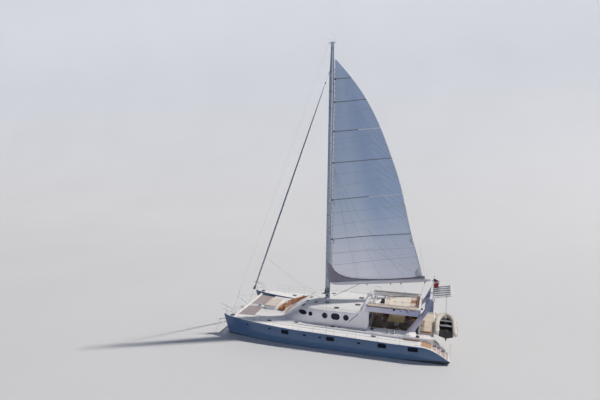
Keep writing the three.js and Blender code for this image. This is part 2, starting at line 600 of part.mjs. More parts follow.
// Foredeck locker lids, each hinged on its forward edge
const LID_Z = 2204;
const lid = join(
  box(HATCH_X - 230, HATCH_X + 220, -210, 210, LID_Z, LID_Z + 25),
  box(HATCH_X + 175, HATCH_X + 220, -180, 180, LID_Z - 40, LID_Z + 1),
).translate([0, HULL_Y, 0]);
const hatchSeat = (shape) => shape.subtract(hulls);
pair('locker_lid', hatchSeat(lid), WHITE);

// Rudders and propellers
function rudder() {
  // height, share of the outline; the outline: x, y
  const blade = loft([[RUDDER_TOP_Z - 20, 1], [-1300, 0.92], [-1750, 0.7]].map(([z, share]) => {
    const outline = [[300, 0], [120, 52], [-150, 48], [-480, 8], [-480, -8], [-150, -48], [120, -52]];
    return outline.map(([x, y]) => vec(RUDDER_X + 20 + x * share, y * share, z));
  }));
  return blade.add(rod(vec(RUDDER_X, 0, RUDDER_TOP_Z - 100), vec(RUDDER_X, 0, BOSS_BOTTOM_Z - GAP), 50, 16));
}
pair('rudder', rudder().translate([0, HULL_Y, 0]), BLACK);

function propeller() {
  const hub = rod(vec(PROP_X - 190, 0, PROP_Z), vec(PROP_X - GAP, 0, PROP_Z), 45, 16, 70);
  const parts = [hub];
  for (let i = 0; i < 3; i += 1) {
    // radius, half chord, thickness
    const blade = loft([[40, 45, 20], [170, 105, 14], [285, 60, 8]].map(([r, half, thick]) => {
      const pitch = Math.atan2(330, 2 * Math.PI * r * 0.7);
      return [[-half, -thick / 2], [half, -thick / 2], [half, thick / 2], [-half, thick / 2]].map(([a, b]) =>
        vec(PROP_X - 95 + a * Math.sin(pitch) + b * Math.cos(pitch),
          a * Math.cos(pitch) - b * Math.sin(pitch), r));
    }));
    parts.push(blade.rotate([(i * 360) / 3, 0, 0]).translate([0, 0, PROP_Z]));
  }
  return join(...parts);
}
pair('propeller', propeller().translate([0, HULL_Y, 0]), BRONZE);

// Rig: mast, stays, boom, bag and mainsail, in a frame that rakes with the mast
const rig = new THREE.Group();
rig.position.set(MAST_X, 0, ROOF_Z);
rig.rotation.y = -MAST_RAKE;
boat.add(rig);
const rigHeight = (z) => (z - ROOF_Z) / Math.cos(MAST_RAKE);
// height above the waterline, half length, half width of the mast's oval
const MAST = [[ROOF_Z, 280, 150], [HOUNDS_Z, 280, 150], [HOUNDS_Z + 900, 230, 125], [MAST_TOP_Z, 160, 90]];
const mastRings = MAST.map(([z, long, wide], i) => {
  const ring = [];
  for (let k = 0; k < 16; k += 1) {
    const turn = (k / 16) * 2 * Math.PI;
    ring.push(vec(long * Math.cos(turn), wide * Math.sin(turn), rigHeight(z) + (i ? 0 : 20)));
  }
  return ring;
});
const gooseneck = rigHeight(GOOSENECK_Z);
const lug = (z) => join(
  box(-GOOSENECK_AFT, -240, -70, 70, z - 20, z + 20),
  rod(vec(-GOOSENECK_AFT, 0, z - 20), vec(-GOOSENECK_AFT, 0, z + 20), 70, 24));
const PIN_R = 30;
const stayZ = rigHeight(HOUNDS_Z);
const shroudZ = rigHeight(SHROUDS_Z);
const mastTop = rigHeight(MAST_TOP_Z);
const stayEye = (grow) =>
  box(200, 360 + grow, -60 - grow, 60 + grow, stayZ - 60 - grow, stayZ + 60 + grow);
const shroudBar = box(-60, 60, -330, 330, shroudZ - 50, shroudZ + 50);
const crane = box(-320, 400, -50, 50, mastTop - 80, mastTop - 1);
const mast = join(
  loft(mastRings), lug(gooseneck - 90), lug(gooseneck + 90),
  rod(vec(-GOOSENECK_AFT, 0, gooseneck - 100), vec(-GOOSENECK_AFT, 0, gooseneck + 100), PIN_R, 24),
  stayEye(0), shroudBar, crane,
);
piece('mast', mast, ALLOY, rig);
// The step under the mast, level on the roof.
const step = box(MAST_X - 420, MAST_X + 420, -240, 240, ROOF_Z + GAP, ROOF_Z + 13);
piece('mast_step', step, ALLOY);

// Where a point or a shape of the raked rig lies in the boat's frame.
const inBoat = (x, y, z) => vec(x, y, z).applyAxisAngle(vec(0, 1, 0), -MAST_RAKE).add(rig.position);
const shapeInBoat = (shape) =>
  shape.rotate([0, -THREE.MathUtils.radToDeg(MAST_RAKE), 0]).translate([MAST_X, 0, ROOF_Z]);
const STAY_FOOT = vec(BEAM_X - 60, 0, BEAM_Z + BEAM_R);
const stayHead = inBoat(350, 0, stayZ);
const beamClear = rod(vec(BEAM_X, -400, BEAM_Z), vec(BEAM_X, 400, BEAM_Z), BEAM_R + 2 * GAP, 16);
// radius, share of the stay's length: wire, drum, rolled sail from foot to head, swivel, wire
const GENOA = [[0, 0], [12, 0], [12, 0.068], [170, 0.068], [170, 0.08], [95, 0.08], [110, 0.3],
  [70, 0.75], [35, 0.95], [12, 0.95], [12, 0.957], [65, 0.957], [65, 0.965], [12, 0.965], [12, 1], [0, 1]];
const stayLine = stayHead.clone().sub(STAY_FOOT);
const genoaShape = new THREE.LatheGeometry(
  GENOA.map(([r, t]) => new THREE.Vector2(r, t * stayLine.length())), 12);
genoaShape.applyQuaternion(
  new THREE.Quaternion().setFromUnitVectors(vec(0, 1, 0), stayLine.clone().normalize()));
const forestay = solid(genoaShape.translate(...STAY_FOOT))
  .subtract(shapeInBoat(stayEye(GAP))).subtract(beamClear);
piece('furled_genoa', forestay, GREY_CLOTH);
const spritEye = SPRIT_TIP.clone().add(vec(-60, 0, 66));
const craneZ = mastTop - 40;
const outerStay = join(
  rod(spritEye, inBoat(425, 0, craneZ), 11, 6),
  shapeInBoat(box(400 + GAP, 450, -20, 20, craneZ - 25, craneZ + 25)),
);
piece('outer_stay', outerStay, STEEL);
const CHAINPLATE = vec(0, HULL_Y + 900, hullDeckAt(0) + 30);
const shroud = join(
  rod(CHAINPLATE, inBoat(0, 345, shroudZ), 12, 6),
  shapeInBoat(box(-25, 25, 330 + GAP, 360, shroudZ - 25, shroudZ + 25)),
  box(CHAINPLATE.x - 60, CHAINPLATE.x + 60, CHAINPLATE.y - 20, CHAINPLATE.y + 20,
    CHAINPLATE.z - 40, CHAINPLATE.z + 130).subtract(hulls),
);
pair('shroud', shroud, STEEL);

const boomGroup = new THREE.Group();
boomGroup.position.set(-GOOSENECK_AFT, 0, gooseneck);
boomGroup.rotation.z = Math.PI + BOOM_ANGLE;
rig.add(boomGroup);
const boomZ = (x) => (BOOM_RISE * x) / BOOM_LENGTH;
// distance from the gooseneck, half height, half width of the boom
const BOOM = [[240, 120, 80], [1000, 190, 120], [6000, 205, 130], [10300, 195, 120], [BOOM_LENGTH, 130, 90]];
const boomRings = BOOM.map(([x, high, wide]) => {
  const ring = [];
  for (let k = 0; k < 12; k += 1) {
    const turn = ((k + 0.5) / 12) * 2 * Math.PI;
    ring.push(vec(x, wide * Math.cos(turn), boomZ(x) + high * Math.sin(turn)));
  }
  return ring;
});
const TONGUE = 70 - GAP; // half height, between the lugs
const boom = join(
  loft(boomRings),
  box(0, 300, -50, 50, -TONGUE, TONGUE),
  rod(vec(0, 0, -TONGUE), vec(0, 0, TONGUE), 60, 24),
).subtract(rod(vec(0, 0, -200), vec(0, 0, 200), PIN_R + 0.6, 24));
piece('boom', boom, ALLOY, boomGroup);

// Top edge of the bag that the sail's foot runs into: distance aft of the pin, height above it
const BAG_TOP = [[90, 1950], [400, 1486], [900, 1130], [1600, 850], [2430, 700], [3400, 630],
  [4570, 600], [6000, 640], [7500, 735], [9000, 880], [10400, 1070], [10900, 1110]];
const bagTop = (x) => value(BAG_TOP, x, 1);
const boomTop = (x) => boomZ(x) + value(BOOM, x, 1);
const bagOutline = [
  ...BAG_TOP,
  ...[...BAG_TOP].reverse().filter(([x]) => x > 1200).map(([x]) => [x, boomTop(x) - 60]),
  [1000, boomTop(1000) - 60], [90, 300],
];
const boomClear = loft(boomRings.map((ring) => ring.map((p) => {
  const centre = vec(p.x, 0, boomZ(p.x));
  return p.clone().sub(centre).multiplyScalar(1.005).add(centre);
})));
const bag = largest(plateXZ(bagOutline, -140, 140).subtract(boomClear));
piece('sail_bag', bag, GREY_CLOTH, boomGroup);

// Mainsail: height above the gooseneck, length of the chord
const CHORDS = [[1225, 10650], [3612, 9960], [6344, 9140], [10878, 8000], [12667, 7460], [14848, 6660],
  [18322, 5230], [21438, 3525], [23754, 1800], [25616, 120]];
const HEAD_Z = 25616;
const SAIL_THICK = 24;
const LUFF_X = -60;
const SAIL_ROWS = [0, 0.04, 0.1, 0.18, 0.28, 0.4, 0.52, 0.64, 0.76, 0.87, 0.95, 1];
const SAIL_COLUMNS = 8;

function sailPoint(u, v, side) {
  const foot = bagTop(LUFF_X + u * 10900) - 100;
  const z = foot + (HEAD_Z - foot) * v;
  const chord = value(CHORDS, z, 1);
  const belly = 0.055 * Math.min(1, v / 0.25) * (1 - 0.3 * v);
  const twist = Math.tan(THREE.MathUtils.degToRad(4 * v));
  const y = 4 * belly * chord * u * (1 - u) + twist * u * chord;
  return vec(LUFF_X + u * chord, y + (side * SAIL_THICK) / 2, z);
}

function sail() {
  const rings = SAIL_ROWS.map((v) => {
    const ring = [];
    for (let i = 0; i <= SAIL_COLUMNS; i += 1) ring.push(sailPoint(i / SAIL_COLUMNS, v, -1));
    for (let i = SAIL_COLUMNS; i >= 0; i -= 1) ring.push(sailPoint(i / SAIL_COLUMNS, v, 1));
    return ring;
  });
  return loftStrip(rings);
}

// A skin over thin rings, closed across each ring's two faces instead of by fans.
function loftStrip(rings) {
  const n = rings[0].length;
  const faces = [];
  for (let r = 0; r + 1 < rings.length; r += 1) {
    for (let i = 0; i < n; i += 1) {
      const [a, b] = [r * n + i, r * n + ((i + 1) % n)];
      faces.push(a, b, a + n, b, b + n, a + n);
    }
  }
  const last = (rings.length - 1) * n;
  for (let i = 0; i < n / 2 - 1; i += 1) {
    const [a, b, c, d] = [i, i + 1, n - 2 - i, n - 1 - i];
    faces.push(a, c, b, a, d, c);
    faces.push(last + a, last + b, last + c, last + a, last + c, last + d);
  }
  const made = new THREE.BufferGeometry().setFromPoints(rings.flat()).setIndex(faces);
  const shape = solid(made);
  return shape.volume() > 0 ? shape : loftStrip(rings.map((ring) => [...ring].reverse()));
}

// The sail's foot ends just over the bag's top edge.
const bagClear = plateXZ(bagOutline.map(([x, z]) => [x > 90 ? x : x - 1, z + 2.5]), -141, 141);
const footCut = sail().subtract(bagClear).subtract(boomClear);
piece('mainsail', largest(footCut), SAILCLOTH, boomGroup);

export default boat;
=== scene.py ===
"""Looks of a cruising catamaran afloat under its mainsail, on a plain pale studio floor."""

import json
import math

import bmesh
import bpy
from mathutils import Matrix, Vector
from mathutils.bvhtree import BVHTree
from mathutils.noise import noise
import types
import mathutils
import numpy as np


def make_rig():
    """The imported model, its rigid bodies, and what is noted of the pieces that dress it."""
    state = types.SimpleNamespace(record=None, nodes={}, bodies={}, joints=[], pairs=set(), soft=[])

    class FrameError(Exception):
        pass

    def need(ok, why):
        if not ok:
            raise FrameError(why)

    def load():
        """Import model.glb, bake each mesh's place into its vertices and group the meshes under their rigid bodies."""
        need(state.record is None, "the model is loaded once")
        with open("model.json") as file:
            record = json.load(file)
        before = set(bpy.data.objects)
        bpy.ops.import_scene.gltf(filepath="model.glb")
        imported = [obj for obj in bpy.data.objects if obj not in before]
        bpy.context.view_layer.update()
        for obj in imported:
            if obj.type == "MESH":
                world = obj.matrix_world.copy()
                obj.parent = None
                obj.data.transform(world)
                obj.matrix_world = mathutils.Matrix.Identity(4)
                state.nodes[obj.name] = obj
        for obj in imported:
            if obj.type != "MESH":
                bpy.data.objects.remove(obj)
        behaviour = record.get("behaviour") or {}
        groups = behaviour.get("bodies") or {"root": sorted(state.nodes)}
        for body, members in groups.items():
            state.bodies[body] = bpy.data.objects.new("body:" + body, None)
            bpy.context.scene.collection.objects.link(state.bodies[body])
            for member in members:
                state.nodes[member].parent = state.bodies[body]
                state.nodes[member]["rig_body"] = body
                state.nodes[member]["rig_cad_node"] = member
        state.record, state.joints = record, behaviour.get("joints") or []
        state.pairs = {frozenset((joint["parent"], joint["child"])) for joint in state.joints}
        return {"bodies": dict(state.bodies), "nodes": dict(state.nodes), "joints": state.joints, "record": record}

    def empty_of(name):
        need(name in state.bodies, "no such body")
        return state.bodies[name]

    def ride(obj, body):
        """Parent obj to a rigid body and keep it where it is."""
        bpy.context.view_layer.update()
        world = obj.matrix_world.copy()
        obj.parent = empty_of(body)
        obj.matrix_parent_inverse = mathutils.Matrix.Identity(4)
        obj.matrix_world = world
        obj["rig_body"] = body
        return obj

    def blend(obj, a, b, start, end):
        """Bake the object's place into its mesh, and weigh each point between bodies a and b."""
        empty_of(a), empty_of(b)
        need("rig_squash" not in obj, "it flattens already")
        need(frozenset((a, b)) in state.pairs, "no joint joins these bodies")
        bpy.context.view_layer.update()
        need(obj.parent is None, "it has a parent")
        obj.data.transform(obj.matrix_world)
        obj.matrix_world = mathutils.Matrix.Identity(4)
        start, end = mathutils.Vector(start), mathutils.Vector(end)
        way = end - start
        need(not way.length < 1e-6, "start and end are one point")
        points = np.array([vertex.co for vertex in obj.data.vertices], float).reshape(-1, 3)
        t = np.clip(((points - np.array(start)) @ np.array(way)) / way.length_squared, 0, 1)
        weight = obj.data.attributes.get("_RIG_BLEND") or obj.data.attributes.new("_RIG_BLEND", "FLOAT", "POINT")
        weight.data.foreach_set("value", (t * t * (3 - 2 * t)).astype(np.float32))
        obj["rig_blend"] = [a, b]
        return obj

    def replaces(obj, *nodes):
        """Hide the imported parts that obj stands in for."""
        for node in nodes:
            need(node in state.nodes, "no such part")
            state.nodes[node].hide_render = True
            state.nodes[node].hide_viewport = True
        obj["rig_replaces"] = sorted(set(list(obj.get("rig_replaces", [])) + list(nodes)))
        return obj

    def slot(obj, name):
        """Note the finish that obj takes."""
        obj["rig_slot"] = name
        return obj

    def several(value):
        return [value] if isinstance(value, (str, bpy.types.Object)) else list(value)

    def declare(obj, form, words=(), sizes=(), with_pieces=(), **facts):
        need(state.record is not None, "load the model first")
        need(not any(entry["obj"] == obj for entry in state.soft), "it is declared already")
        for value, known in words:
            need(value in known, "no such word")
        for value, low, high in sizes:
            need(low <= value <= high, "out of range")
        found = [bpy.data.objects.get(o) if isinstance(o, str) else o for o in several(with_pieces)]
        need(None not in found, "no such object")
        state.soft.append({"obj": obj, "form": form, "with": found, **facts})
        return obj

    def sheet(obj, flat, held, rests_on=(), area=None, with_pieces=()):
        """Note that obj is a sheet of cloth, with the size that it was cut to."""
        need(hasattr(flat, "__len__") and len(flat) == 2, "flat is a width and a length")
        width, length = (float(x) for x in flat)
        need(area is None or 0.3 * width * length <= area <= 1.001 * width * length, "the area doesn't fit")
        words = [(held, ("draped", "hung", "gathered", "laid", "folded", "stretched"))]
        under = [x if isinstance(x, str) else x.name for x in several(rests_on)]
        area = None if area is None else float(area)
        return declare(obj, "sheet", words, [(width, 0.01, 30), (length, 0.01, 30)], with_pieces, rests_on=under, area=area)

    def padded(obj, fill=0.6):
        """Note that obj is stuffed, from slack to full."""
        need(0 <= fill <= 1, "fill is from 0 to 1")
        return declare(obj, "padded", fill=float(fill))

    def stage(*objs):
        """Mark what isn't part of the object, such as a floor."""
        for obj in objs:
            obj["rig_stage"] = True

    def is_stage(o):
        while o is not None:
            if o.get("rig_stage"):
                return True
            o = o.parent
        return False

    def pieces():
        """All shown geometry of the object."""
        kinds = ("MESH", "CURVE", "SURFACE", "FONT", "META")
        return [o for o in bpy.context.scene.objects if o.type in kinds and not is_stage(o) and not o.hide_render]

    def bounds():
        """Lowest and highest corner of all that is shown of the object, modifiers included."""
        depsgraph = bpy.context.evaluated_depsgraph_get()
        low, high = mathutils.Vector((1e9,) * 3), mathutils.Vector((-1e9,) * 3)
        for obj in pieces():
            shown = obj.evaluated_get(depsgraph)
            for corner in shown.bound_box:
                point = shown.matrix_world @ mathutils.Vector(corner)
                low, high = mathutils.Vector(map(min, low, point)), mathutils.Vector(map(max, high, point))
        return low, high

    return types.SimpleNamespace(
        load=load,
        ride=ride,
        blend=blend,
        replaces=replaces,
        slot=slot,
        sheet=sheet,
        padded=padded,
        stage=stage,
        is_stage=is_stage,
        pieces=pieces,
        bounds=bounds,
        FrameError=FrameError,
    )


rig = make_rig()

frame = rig.load()
cad_low, cad_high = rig.bounds()

# Camera: the photograph's viewpoint

CAMERA_AT = (-11.4, 49.1, 21.1)
CAMERA_TURN = (0.315, 0.112, -0.008)  # yaw, pitch and roll in radians


def link_object(name, data):
    made = bpy.data.objects.new(name, data)
    bpy.context.scene.collection.objects.link(made)
    return made


def add_camera():
    data = bpy.data.cameras.new("camera")
    data.sensor_width = 36
    data.lens = 26.4
    data.clip_end = 2000
    yaw, pitch, roll = CAMERA_TURN
    level = Vector((math.sin(yaw), -math.cos(yaw), 0))
    side = Vector((-math.cos(yaw), -math.sin(yaw), 0))
    up = Vector((0, 0, 1))
    ahead = level * math.cos(pitch) - up * math.sin(pitch)
    top = up * math.cos(pitch) + level * math.sin(pitch)
    right = side * math.cos(roll) + top * math.sin(roll)
    top = top * math.cos(roll) - side * math.sin(roll)
    turn = Matrix((right, top, -ahead)).transposed().to_4x4()
    camera = link_object("camera", data)
    camera.matrix_world = Matrix.Translation(CAMERA_AT) @ turn
    bpy.context.scene.camera = camera


add_camera()

# Places that more than one part needs
HULL_Y = 4.6
DECK_Z = 1.9
RAISED_HALF = 4.3
SIDES = (("port", 1), ("starboard", -1))
# The stern steps: front x, tread z; and half their width
STEPS = [(-10.80, 1.12), (-11.23, 0.87), (-11.66, 0.61), (-12.09, 0.37)]
STEP_HALF = 0.92

# Materials

SLOTS = {}


class Look:
    """A node material: a base colour that varies, a roughness that varies, and a bump."""

    def __init__(self, name, slot=None):
        self.material = bpy.data.materials.new(name)
        self.material.use_nodes = True
        self.tree = self.material.node_tree
        self.shader = self.tree.nodes["Principled BSDF"]
        self.place = self.node("ShaderNodeTexCoord").outputs["Object"]
        SLOTS[self.material.name] = slot

    def node(self, kind, **values):
        made = self.tree.nodes.new(kind)
        for key, value in values.items():
            setattr(made, key, value)
        return made

    def link(self, source, target):
        if isinstance(source, (int, float)):
            target.default_value = source
        elif isinstance(source, (tuple, list)):
            target.default_value = (*source, 1.0) if len(source) == 3 else source
        else:
            self.tree.links.new(source, target)

    def fill(self, made, **values):
        for key, value in values.items():
            self.link(value, made.inputs[key.replace("_", " ")])

    def noise(self, scale, detail=3.0, stretch=(1, 1, 1)):
        spread = self.node("ShaderNodeMapping")
        spread.inputs["Scale"].default_value = stretch
        self.fill(spread, Vector=self.place)
        made = self.node("ShaderNodeTexNoise")
        self.fill(made, Scale=scale, Detail=detail, Vector=spread.outputs["Vector"])
        return made.outputs["Fac"]

    def drift(self, scale, detail, stretch=(1, 1, 1)):
        """Soft patches, from 0 to 1."""
        return self.ramp(self.noise(scale, detail, stretch), 0.3, 0.7)

    def axis(self, name, source=None):
        parts = self.node("ShaderNodeSeparateXYZ")
        self.fill(parts, Vector=source or self.place)
        return parts.outputs[name]

    def normal(self, name):
        return self.axis(name, self.node("ShaderNodeNewGeometry").outputs["Normal"])

    def math(self, kind, a, b=0.0):
        made = self.node("ShaderNodeMath", operation=kind)
        self.link(a, made.inputs[0])
        self.link(b, made.inputs[1])
        return made.outputs[0]

    def times(self, a, b):
        return self.math("MULTIPLY", a, b)

    def plus(self, a, b):
        return self.math("ADD", a, b)

    def larger(self, a, b):
        return self.math("MAXIMUM", a, b)

    def over(self, a, b):
        """1 where a is above b."""
        return self.math("GREATER_THAN", a, b)

    def under(self, a, b):
        """1 where a is below b."""
        return self.math("LESS_THAN", a, b)

    def ramp(self, value, low, high, start=0.0, end=1.0):
        made = self.node("ShaderNodeMapRange")
        self.fill(made, Value=value, From_Min=low, From_Max=high, To_Min=start, To_Max=end)
        return made.outputs["Result"]

    def mix(self, share, a, b):
        made = self.node("ShaderNodeMix", data_type="RGBA")
        for socket, value in ((0, share), (6, a), (7, b)):
            self.link(value, made.inputs[socket])
        return made.outputs[2]

    def lines(self, place, pitch, share):
        """1 on a share of each pitch along a place, and 0 on the rest."""
        return self.under(self.math("FRACT", self.math("DIVIDE", place, pitch)), share)

    def grid(self, pitch, width):
        """Lines of that width both ways, one each pitch."""
        return self.larger(*(self.lines(self.axis(name), pitch, width / pitch) for name in "XY"))

    def weave(self, pitch):
        """Two crossing threads, for cloth."""
        return self.times(*(self.math("SINE", self.times(self.axis(name), 2 * math.pi / pitch))
                            for name in "XZ"))

    def bump(self, height, distance):
        made = self.node("ShaderNodeBump")
        self.fill(made, Distance=distance, Strength=1.0, Height=height)
        before = self.shader.inputs["Normal"].links
        if before:
            self.fill(made, Normal=before[0].from_socket)
        self.fill(self.shader, Normal=made.outputs["Normal"])

    def finish(self, colour, roughness, metallic=0.0, **more):
        self.fill(self.shader, Base_Color=colour, Roughness=roughness, Metallic=metallic, **more)
        return self.material


def shade(colour, factor):
    return tuple(min(1.0, c * factor) for c in colour)


def plain(name, slot, colour, rough, metal=0.0, vary=0.08, patch=0.8, grain=60.0, depth=0.0005, **more):
    """A finish whose tone drifts over patches and whose surface has a fine grain."""
    look = Look(name, slot)
    tone = look.mix(look.drift(patch, 4), shade(colour, 1 - vary), shade(colour, 1 + vary))
    look.bump(look.noise(grain, 2), depth)
    worn = look.ramp(look.noise(patch * 3, 5), 0.3, 0.7, rough * 0.8, rough * 1.2)
    return look.finish(tone, worn, metal, **more)


WHITE = (0.80, 0.79, 0.775)
DULL_WHITE = shade(WHITE, 0.93)
SUNLIT_WHITE = shade(WHITE, 1.04)
# TOPSIDE is the hull's blue-grey, made darker than its paint to carry painted shade; the second tone is painted light
# for the topsides near the waterline
TOPSIDE = (0.044, 0.100, 0.208)
TOPSIDE_PAINTED_LIGHTER = (0.078, 0.150, 0.255)
SOOT = (0.1, 0.1, 0.12)


def nonskid(look):
    """Share of the deck that lies in a moulded non-slip panel, and its tiny diamond bumps."""
    return look.math("SUBTRACT", 1.0, look.grid(0.9, 0.05)), look.noise(90.0, 1)


def white_moulding(look, flat_from):
    """Glossy white with dull streaks, and the share that is a flat non-slip panel."""
    panel, pips = nonskid(look)
    flat = look.times(look.ramp(look.normal("Z"), flat_from, 0.985), panel)
    streak = look.ramp(look.noise(1.2, 5, (1, 1, 0.25)), 0.35, 0.75)
    look.bump(look.times(pips, flat), 0.003)
    look.bump(look.noise(0.7, 3), 0.002)
    return look.mix(streak, WHITE, DULL_WHITE), flat, streak


def gelcoat_look():
    """White moulding; its flat panels are painted brighter on the side decks than on the roof, as painted sunlight."""
    look = Look("white_gelcoat", "white_gelcoat")
    side, flat, _ = white_moulding(look, 0.94)
    # painted sunlight: the side decks' flat panels take a brighter white than the roof's
    walkway = look.over(look.math("ABSOLUTE", look.axis("Y")), 3.5)
    tone = look.mix(flat, side, look.mix(walkway, shade(WHITE, 0.9), SUNLIT_WHITE))
    return look.finish(tone, look.ramp(flat, 0, 1, 0.22, 0.62), Coat_Weight=0.3, Coat_Roughness=0.1)


def hardtop_look():
    """White moulding with painted shade: a blue-grey band along each sloping side, darker aft."""
    look = Look("hardtop_white_and_painted_shade", "white_gelcoat")
    tone, flat, streak = white_moulding(look, 0.95)
    # painted shade on the sloping sides, deeper towards the stern, with faint soot streaks in it
    slope = look.ramp(look.math("ABSOLUTE", look.axis("Y")), 2.46, 2.49)
    band = look.times(look.times(slope, look.under(look.axis("X"), -3.7)), look.over(look.axis("Z"), 3.84))
    shade_band_tone = look.mix(look.ramp(look.axis("X"), -4.6, -8.8), (0.47, 0.46, 0.56), (0.27, 0.29, 0.42))
    tone = look.mix(band, tone, look.mix(look.times(streak, 0.1), shade_band_tone, SOOT))
    return look.finish(tone, look.ramp(flat, 0, 1, 0.25, 0.6), Coat_Weight=0.25, Coat_Roughness=0.1)


def hull_look():
    """Blue-grey topsides, partly painted shade and painted lighter low down, white deck and steps, and dark
    antifouling below a line that rises at the ends, at the stern also painted shade under the hull.
    """
    look = Look("hull_paint", "slate_gelcoat")
    height = look.axis("Z")
    deck = look.times(look.over(look.normal("Z"), 0.6), look.over(height, 0.25))
    across = look.math("ABSOLUTE", look.math("SUBTRACT", look.math("ABSOLUTE", look.axis("Y")), HULL_Y))
    steps = look.times(look.under(across, STEP_HALF + 0.01),
                       look.under(look.axis("X"), STEPS[0][0] + 0.005))
    steps = look.times(steps, look.over(height, STEPS[-1][1] - 0.02))
    flat = look.larger(deck, steps)
    panel, pips = nonskid(look)
    streak = look.ramp(look.noise(0.9, 6, (1, 1, 0.2)), 0.3, 0.75)
    # painted light: the topsides are lighter towards the waterline
    topside = look.mix(look.ramp(height, 1.5, 0.35), TOPSIDE, TOPSIDE_PAINTED_LIGHTER)
    topside = look.mix(look.times(streak, 0.1), topside, (0.0, 0.0, 0.0))
    # Dark antifouling below this line; where it rises at the stern it also stands for painted shade under the hull's
    # rising bottom.
    rise = look.plus(look.ramp(look.axis("X"), -7.6, -11.9, 0.03, 0.40),
                     look.ramp(look.axis("X"), 8.5, 12.5, 0.0, 0.17))
    below = look.under(look.math("SUBTRACT", height, rise), 0.0)
    growth = look.mix(look.noise(3.0, 6), (0.012, 0.02, 0.035), (0.03, 0.045, 0.05))
    tone = look.mix(flat, look.mix(below, topside, growth),
                    look.mix(look.times(flat, panel), WHITE, SUNLIT_WHITE))
    look.bump(look.times(look.times(pips, flat), panel), 0.003)
    look.bump(look.noise(0.5, 3), 0.004)
    rough = look.larger(look.ramp(flat, 0, 1, 0.24, 0.6), look.ramp(below, 0, 1, 0.0, 0.75))
    return look.finish(tone, rough, Coat_Weight=0.35, Coat_Roughness=0.08)


def cloth_look(name, slot, colour, pitch, rough=0.85, vary=0.1, depth=0.0015):
    look = Look(name, slot)
    threads = look.weave(pitch)
    tone = look.mix(look.drift(1.1, 5), shade(colour, 1 - vary), shade(colour, 1 + vary))
    tone = look.mix(look.ramp(threads, -1, 1, 0, 0.12), tone, shade(colour, 0.7))
    look.bump(threads, depth * 0.4)
    look.bump(look.noise(9.0, 5), depth * 3)
    return look.finish(tone, rough, Sheen_Weight=0.2)


def roll_look():
    """The rolled headsail's sun strip: paler near the deck, darkening higher up as painted shade against the sky."""
    look = Look("rolled_strip", "grey_cloth")
    height = look.ramp(look.axis("Z"), 3, 20)
    tone = look.mix(look.drift(1.1, 5), look.mix(height, (0.24, 0.28, 0.34), (0.07, 0.095, 0.145)),
                    look.mix(height, (0.31, 0.35, 0.41), (0.09, 0.12, 0.18)))
    look.bump(look.noise(9.0, 5), 0.008)
    return look.finish(tone, 0.85, Sheen_Weight=0.2)


def sail_look():
    """Panelled laminate: seams between the panels, faint threads and long soft creases, with painted light and shade
    that keep it pale low down and darken it up high, towards the leech and in the creases.
    """
    look = Look("sail_laminate", "sailcloth")
    x, z = look.axis("X"), look.axis("Z")
    seam = look.lines(look.plus(z, look.times(x, 0.12)), 1.15, 0.035)
    thread = look.lines(look.plus(x, look.times(z, 0.16)), 0.42, 0.03)
    chord = look.math("SUBTRACT", 13.0, look.times(z, 0.32))
    aft = look.math("DIVIDE", look.math("SUBTRACT", 1.2, x), chord)
    # painted light and shade: pale low on the sail, darker and bluer higher up and aft towards the leech
    lower, upper = look.ramp(z, 6.5, 15), look.ramp(z, 15, 22)
    bright = look.mix(upper, look.mix(lower, (0.91, 0.905, 0.93), (0.47, 0.57, 0.69)), (0.38, 0.48, 0.62))
    dark = look.mix(upper, look.mix(lower, (0.76, 0.79, 0.85), (0.31, 0.44, 0.62)), (0.27, 0.38, 0.56))
    tone = look.mix(look.ramp(aft, 0.38, 0.62, 0.0, 0.9), bright, dark)
    # painted shade in long soft creases
    tone = look.mix(look.times(look.drift(0.22, 4, (1, 1, 0.35)), 0.16), tone, (0.30, 0.34, 0.41))
    for marks, share in ((thread, 0.10), (seam, 0.16)):
        tone = look.mix(look.times(marks, share), tone, (0.2, 0.22, 0.26))
    look.bump(seam, 0.004)
    look.bump(look.noise(0.9, 4, (2.2, 2.2, 0.25)), 0.02)
    return look.finish(tone, 0.42, Sheen_Weight=0.1)


def teak_look(name, colour, board=0.12):
    look = Look(name, "teak")
    seam = look.lines(look.axis("Y"), board, 0.012 / board)
    grain = look.noise(3.0, 8, (1, 14, 14))
    tone = look.mix(seam, look.mix(grain, shade(colour, 0.7), shade(colour, 1.2)), (0.02, 0.018, 0.016))
    look.bump(look.math("SUBTRACT", grain, seam), 0.003)
    return look.finish(tone, look.ramp(grain, 0.2, 0.8, 0.45, 0.7))


def net_look():
    """Close knotless net: crossing cords, dark between them."""
    look = Look("net_cord", "net")
    cords = look.grid(0.05, 0.03)
    tone = look.mix(look.noise(2.0, 4), (0.36, 0.30, 0.31), (0.46, 0.39, 0.39))
    look.bump(cords, 0.004)
    return look.finish(look.mix(cords, shade((0.40, 0.34, 0.35), 0.45), tone), 0.9)


def arch_look():
    """Painted shade on a white moulding: blue-grey that darkens towards the arch's head."""
    look = Look("arch_painted_shade", "white_gelcoat")
    tone = look.mix(look.ramp(look.axis("Z"), 3.0, 4.3), (0.50, 0.47, 0.53), (0.20, 0.24, 0.37))
    drift = look.drift(0.8, 4)
    look.bump(look.noise(60.0, 2), 0.0005)
    return look.finish(look.mix(look.times(drift, 0.08), tone, SOOT), look.ramp(drift, 0, 1, 0.25, 0.35))


def panel_look():
    """Dark solar cells with thin light lines between them."""
    look = Look("solar_cells", "solar_glass")
    grid = look.grid(0.16, 0.006)
    tone = look.mix(look.noise(6.0, 3), (0.018, 0.022, 0.04), (0.03, 0.035, 0.06))
    look.bump(grid, 0.0005)
    return look.finish(look.mix(grid, tone, (0.3, 0.32, 0.36)), 0.16, Coat_Weight=0.6)


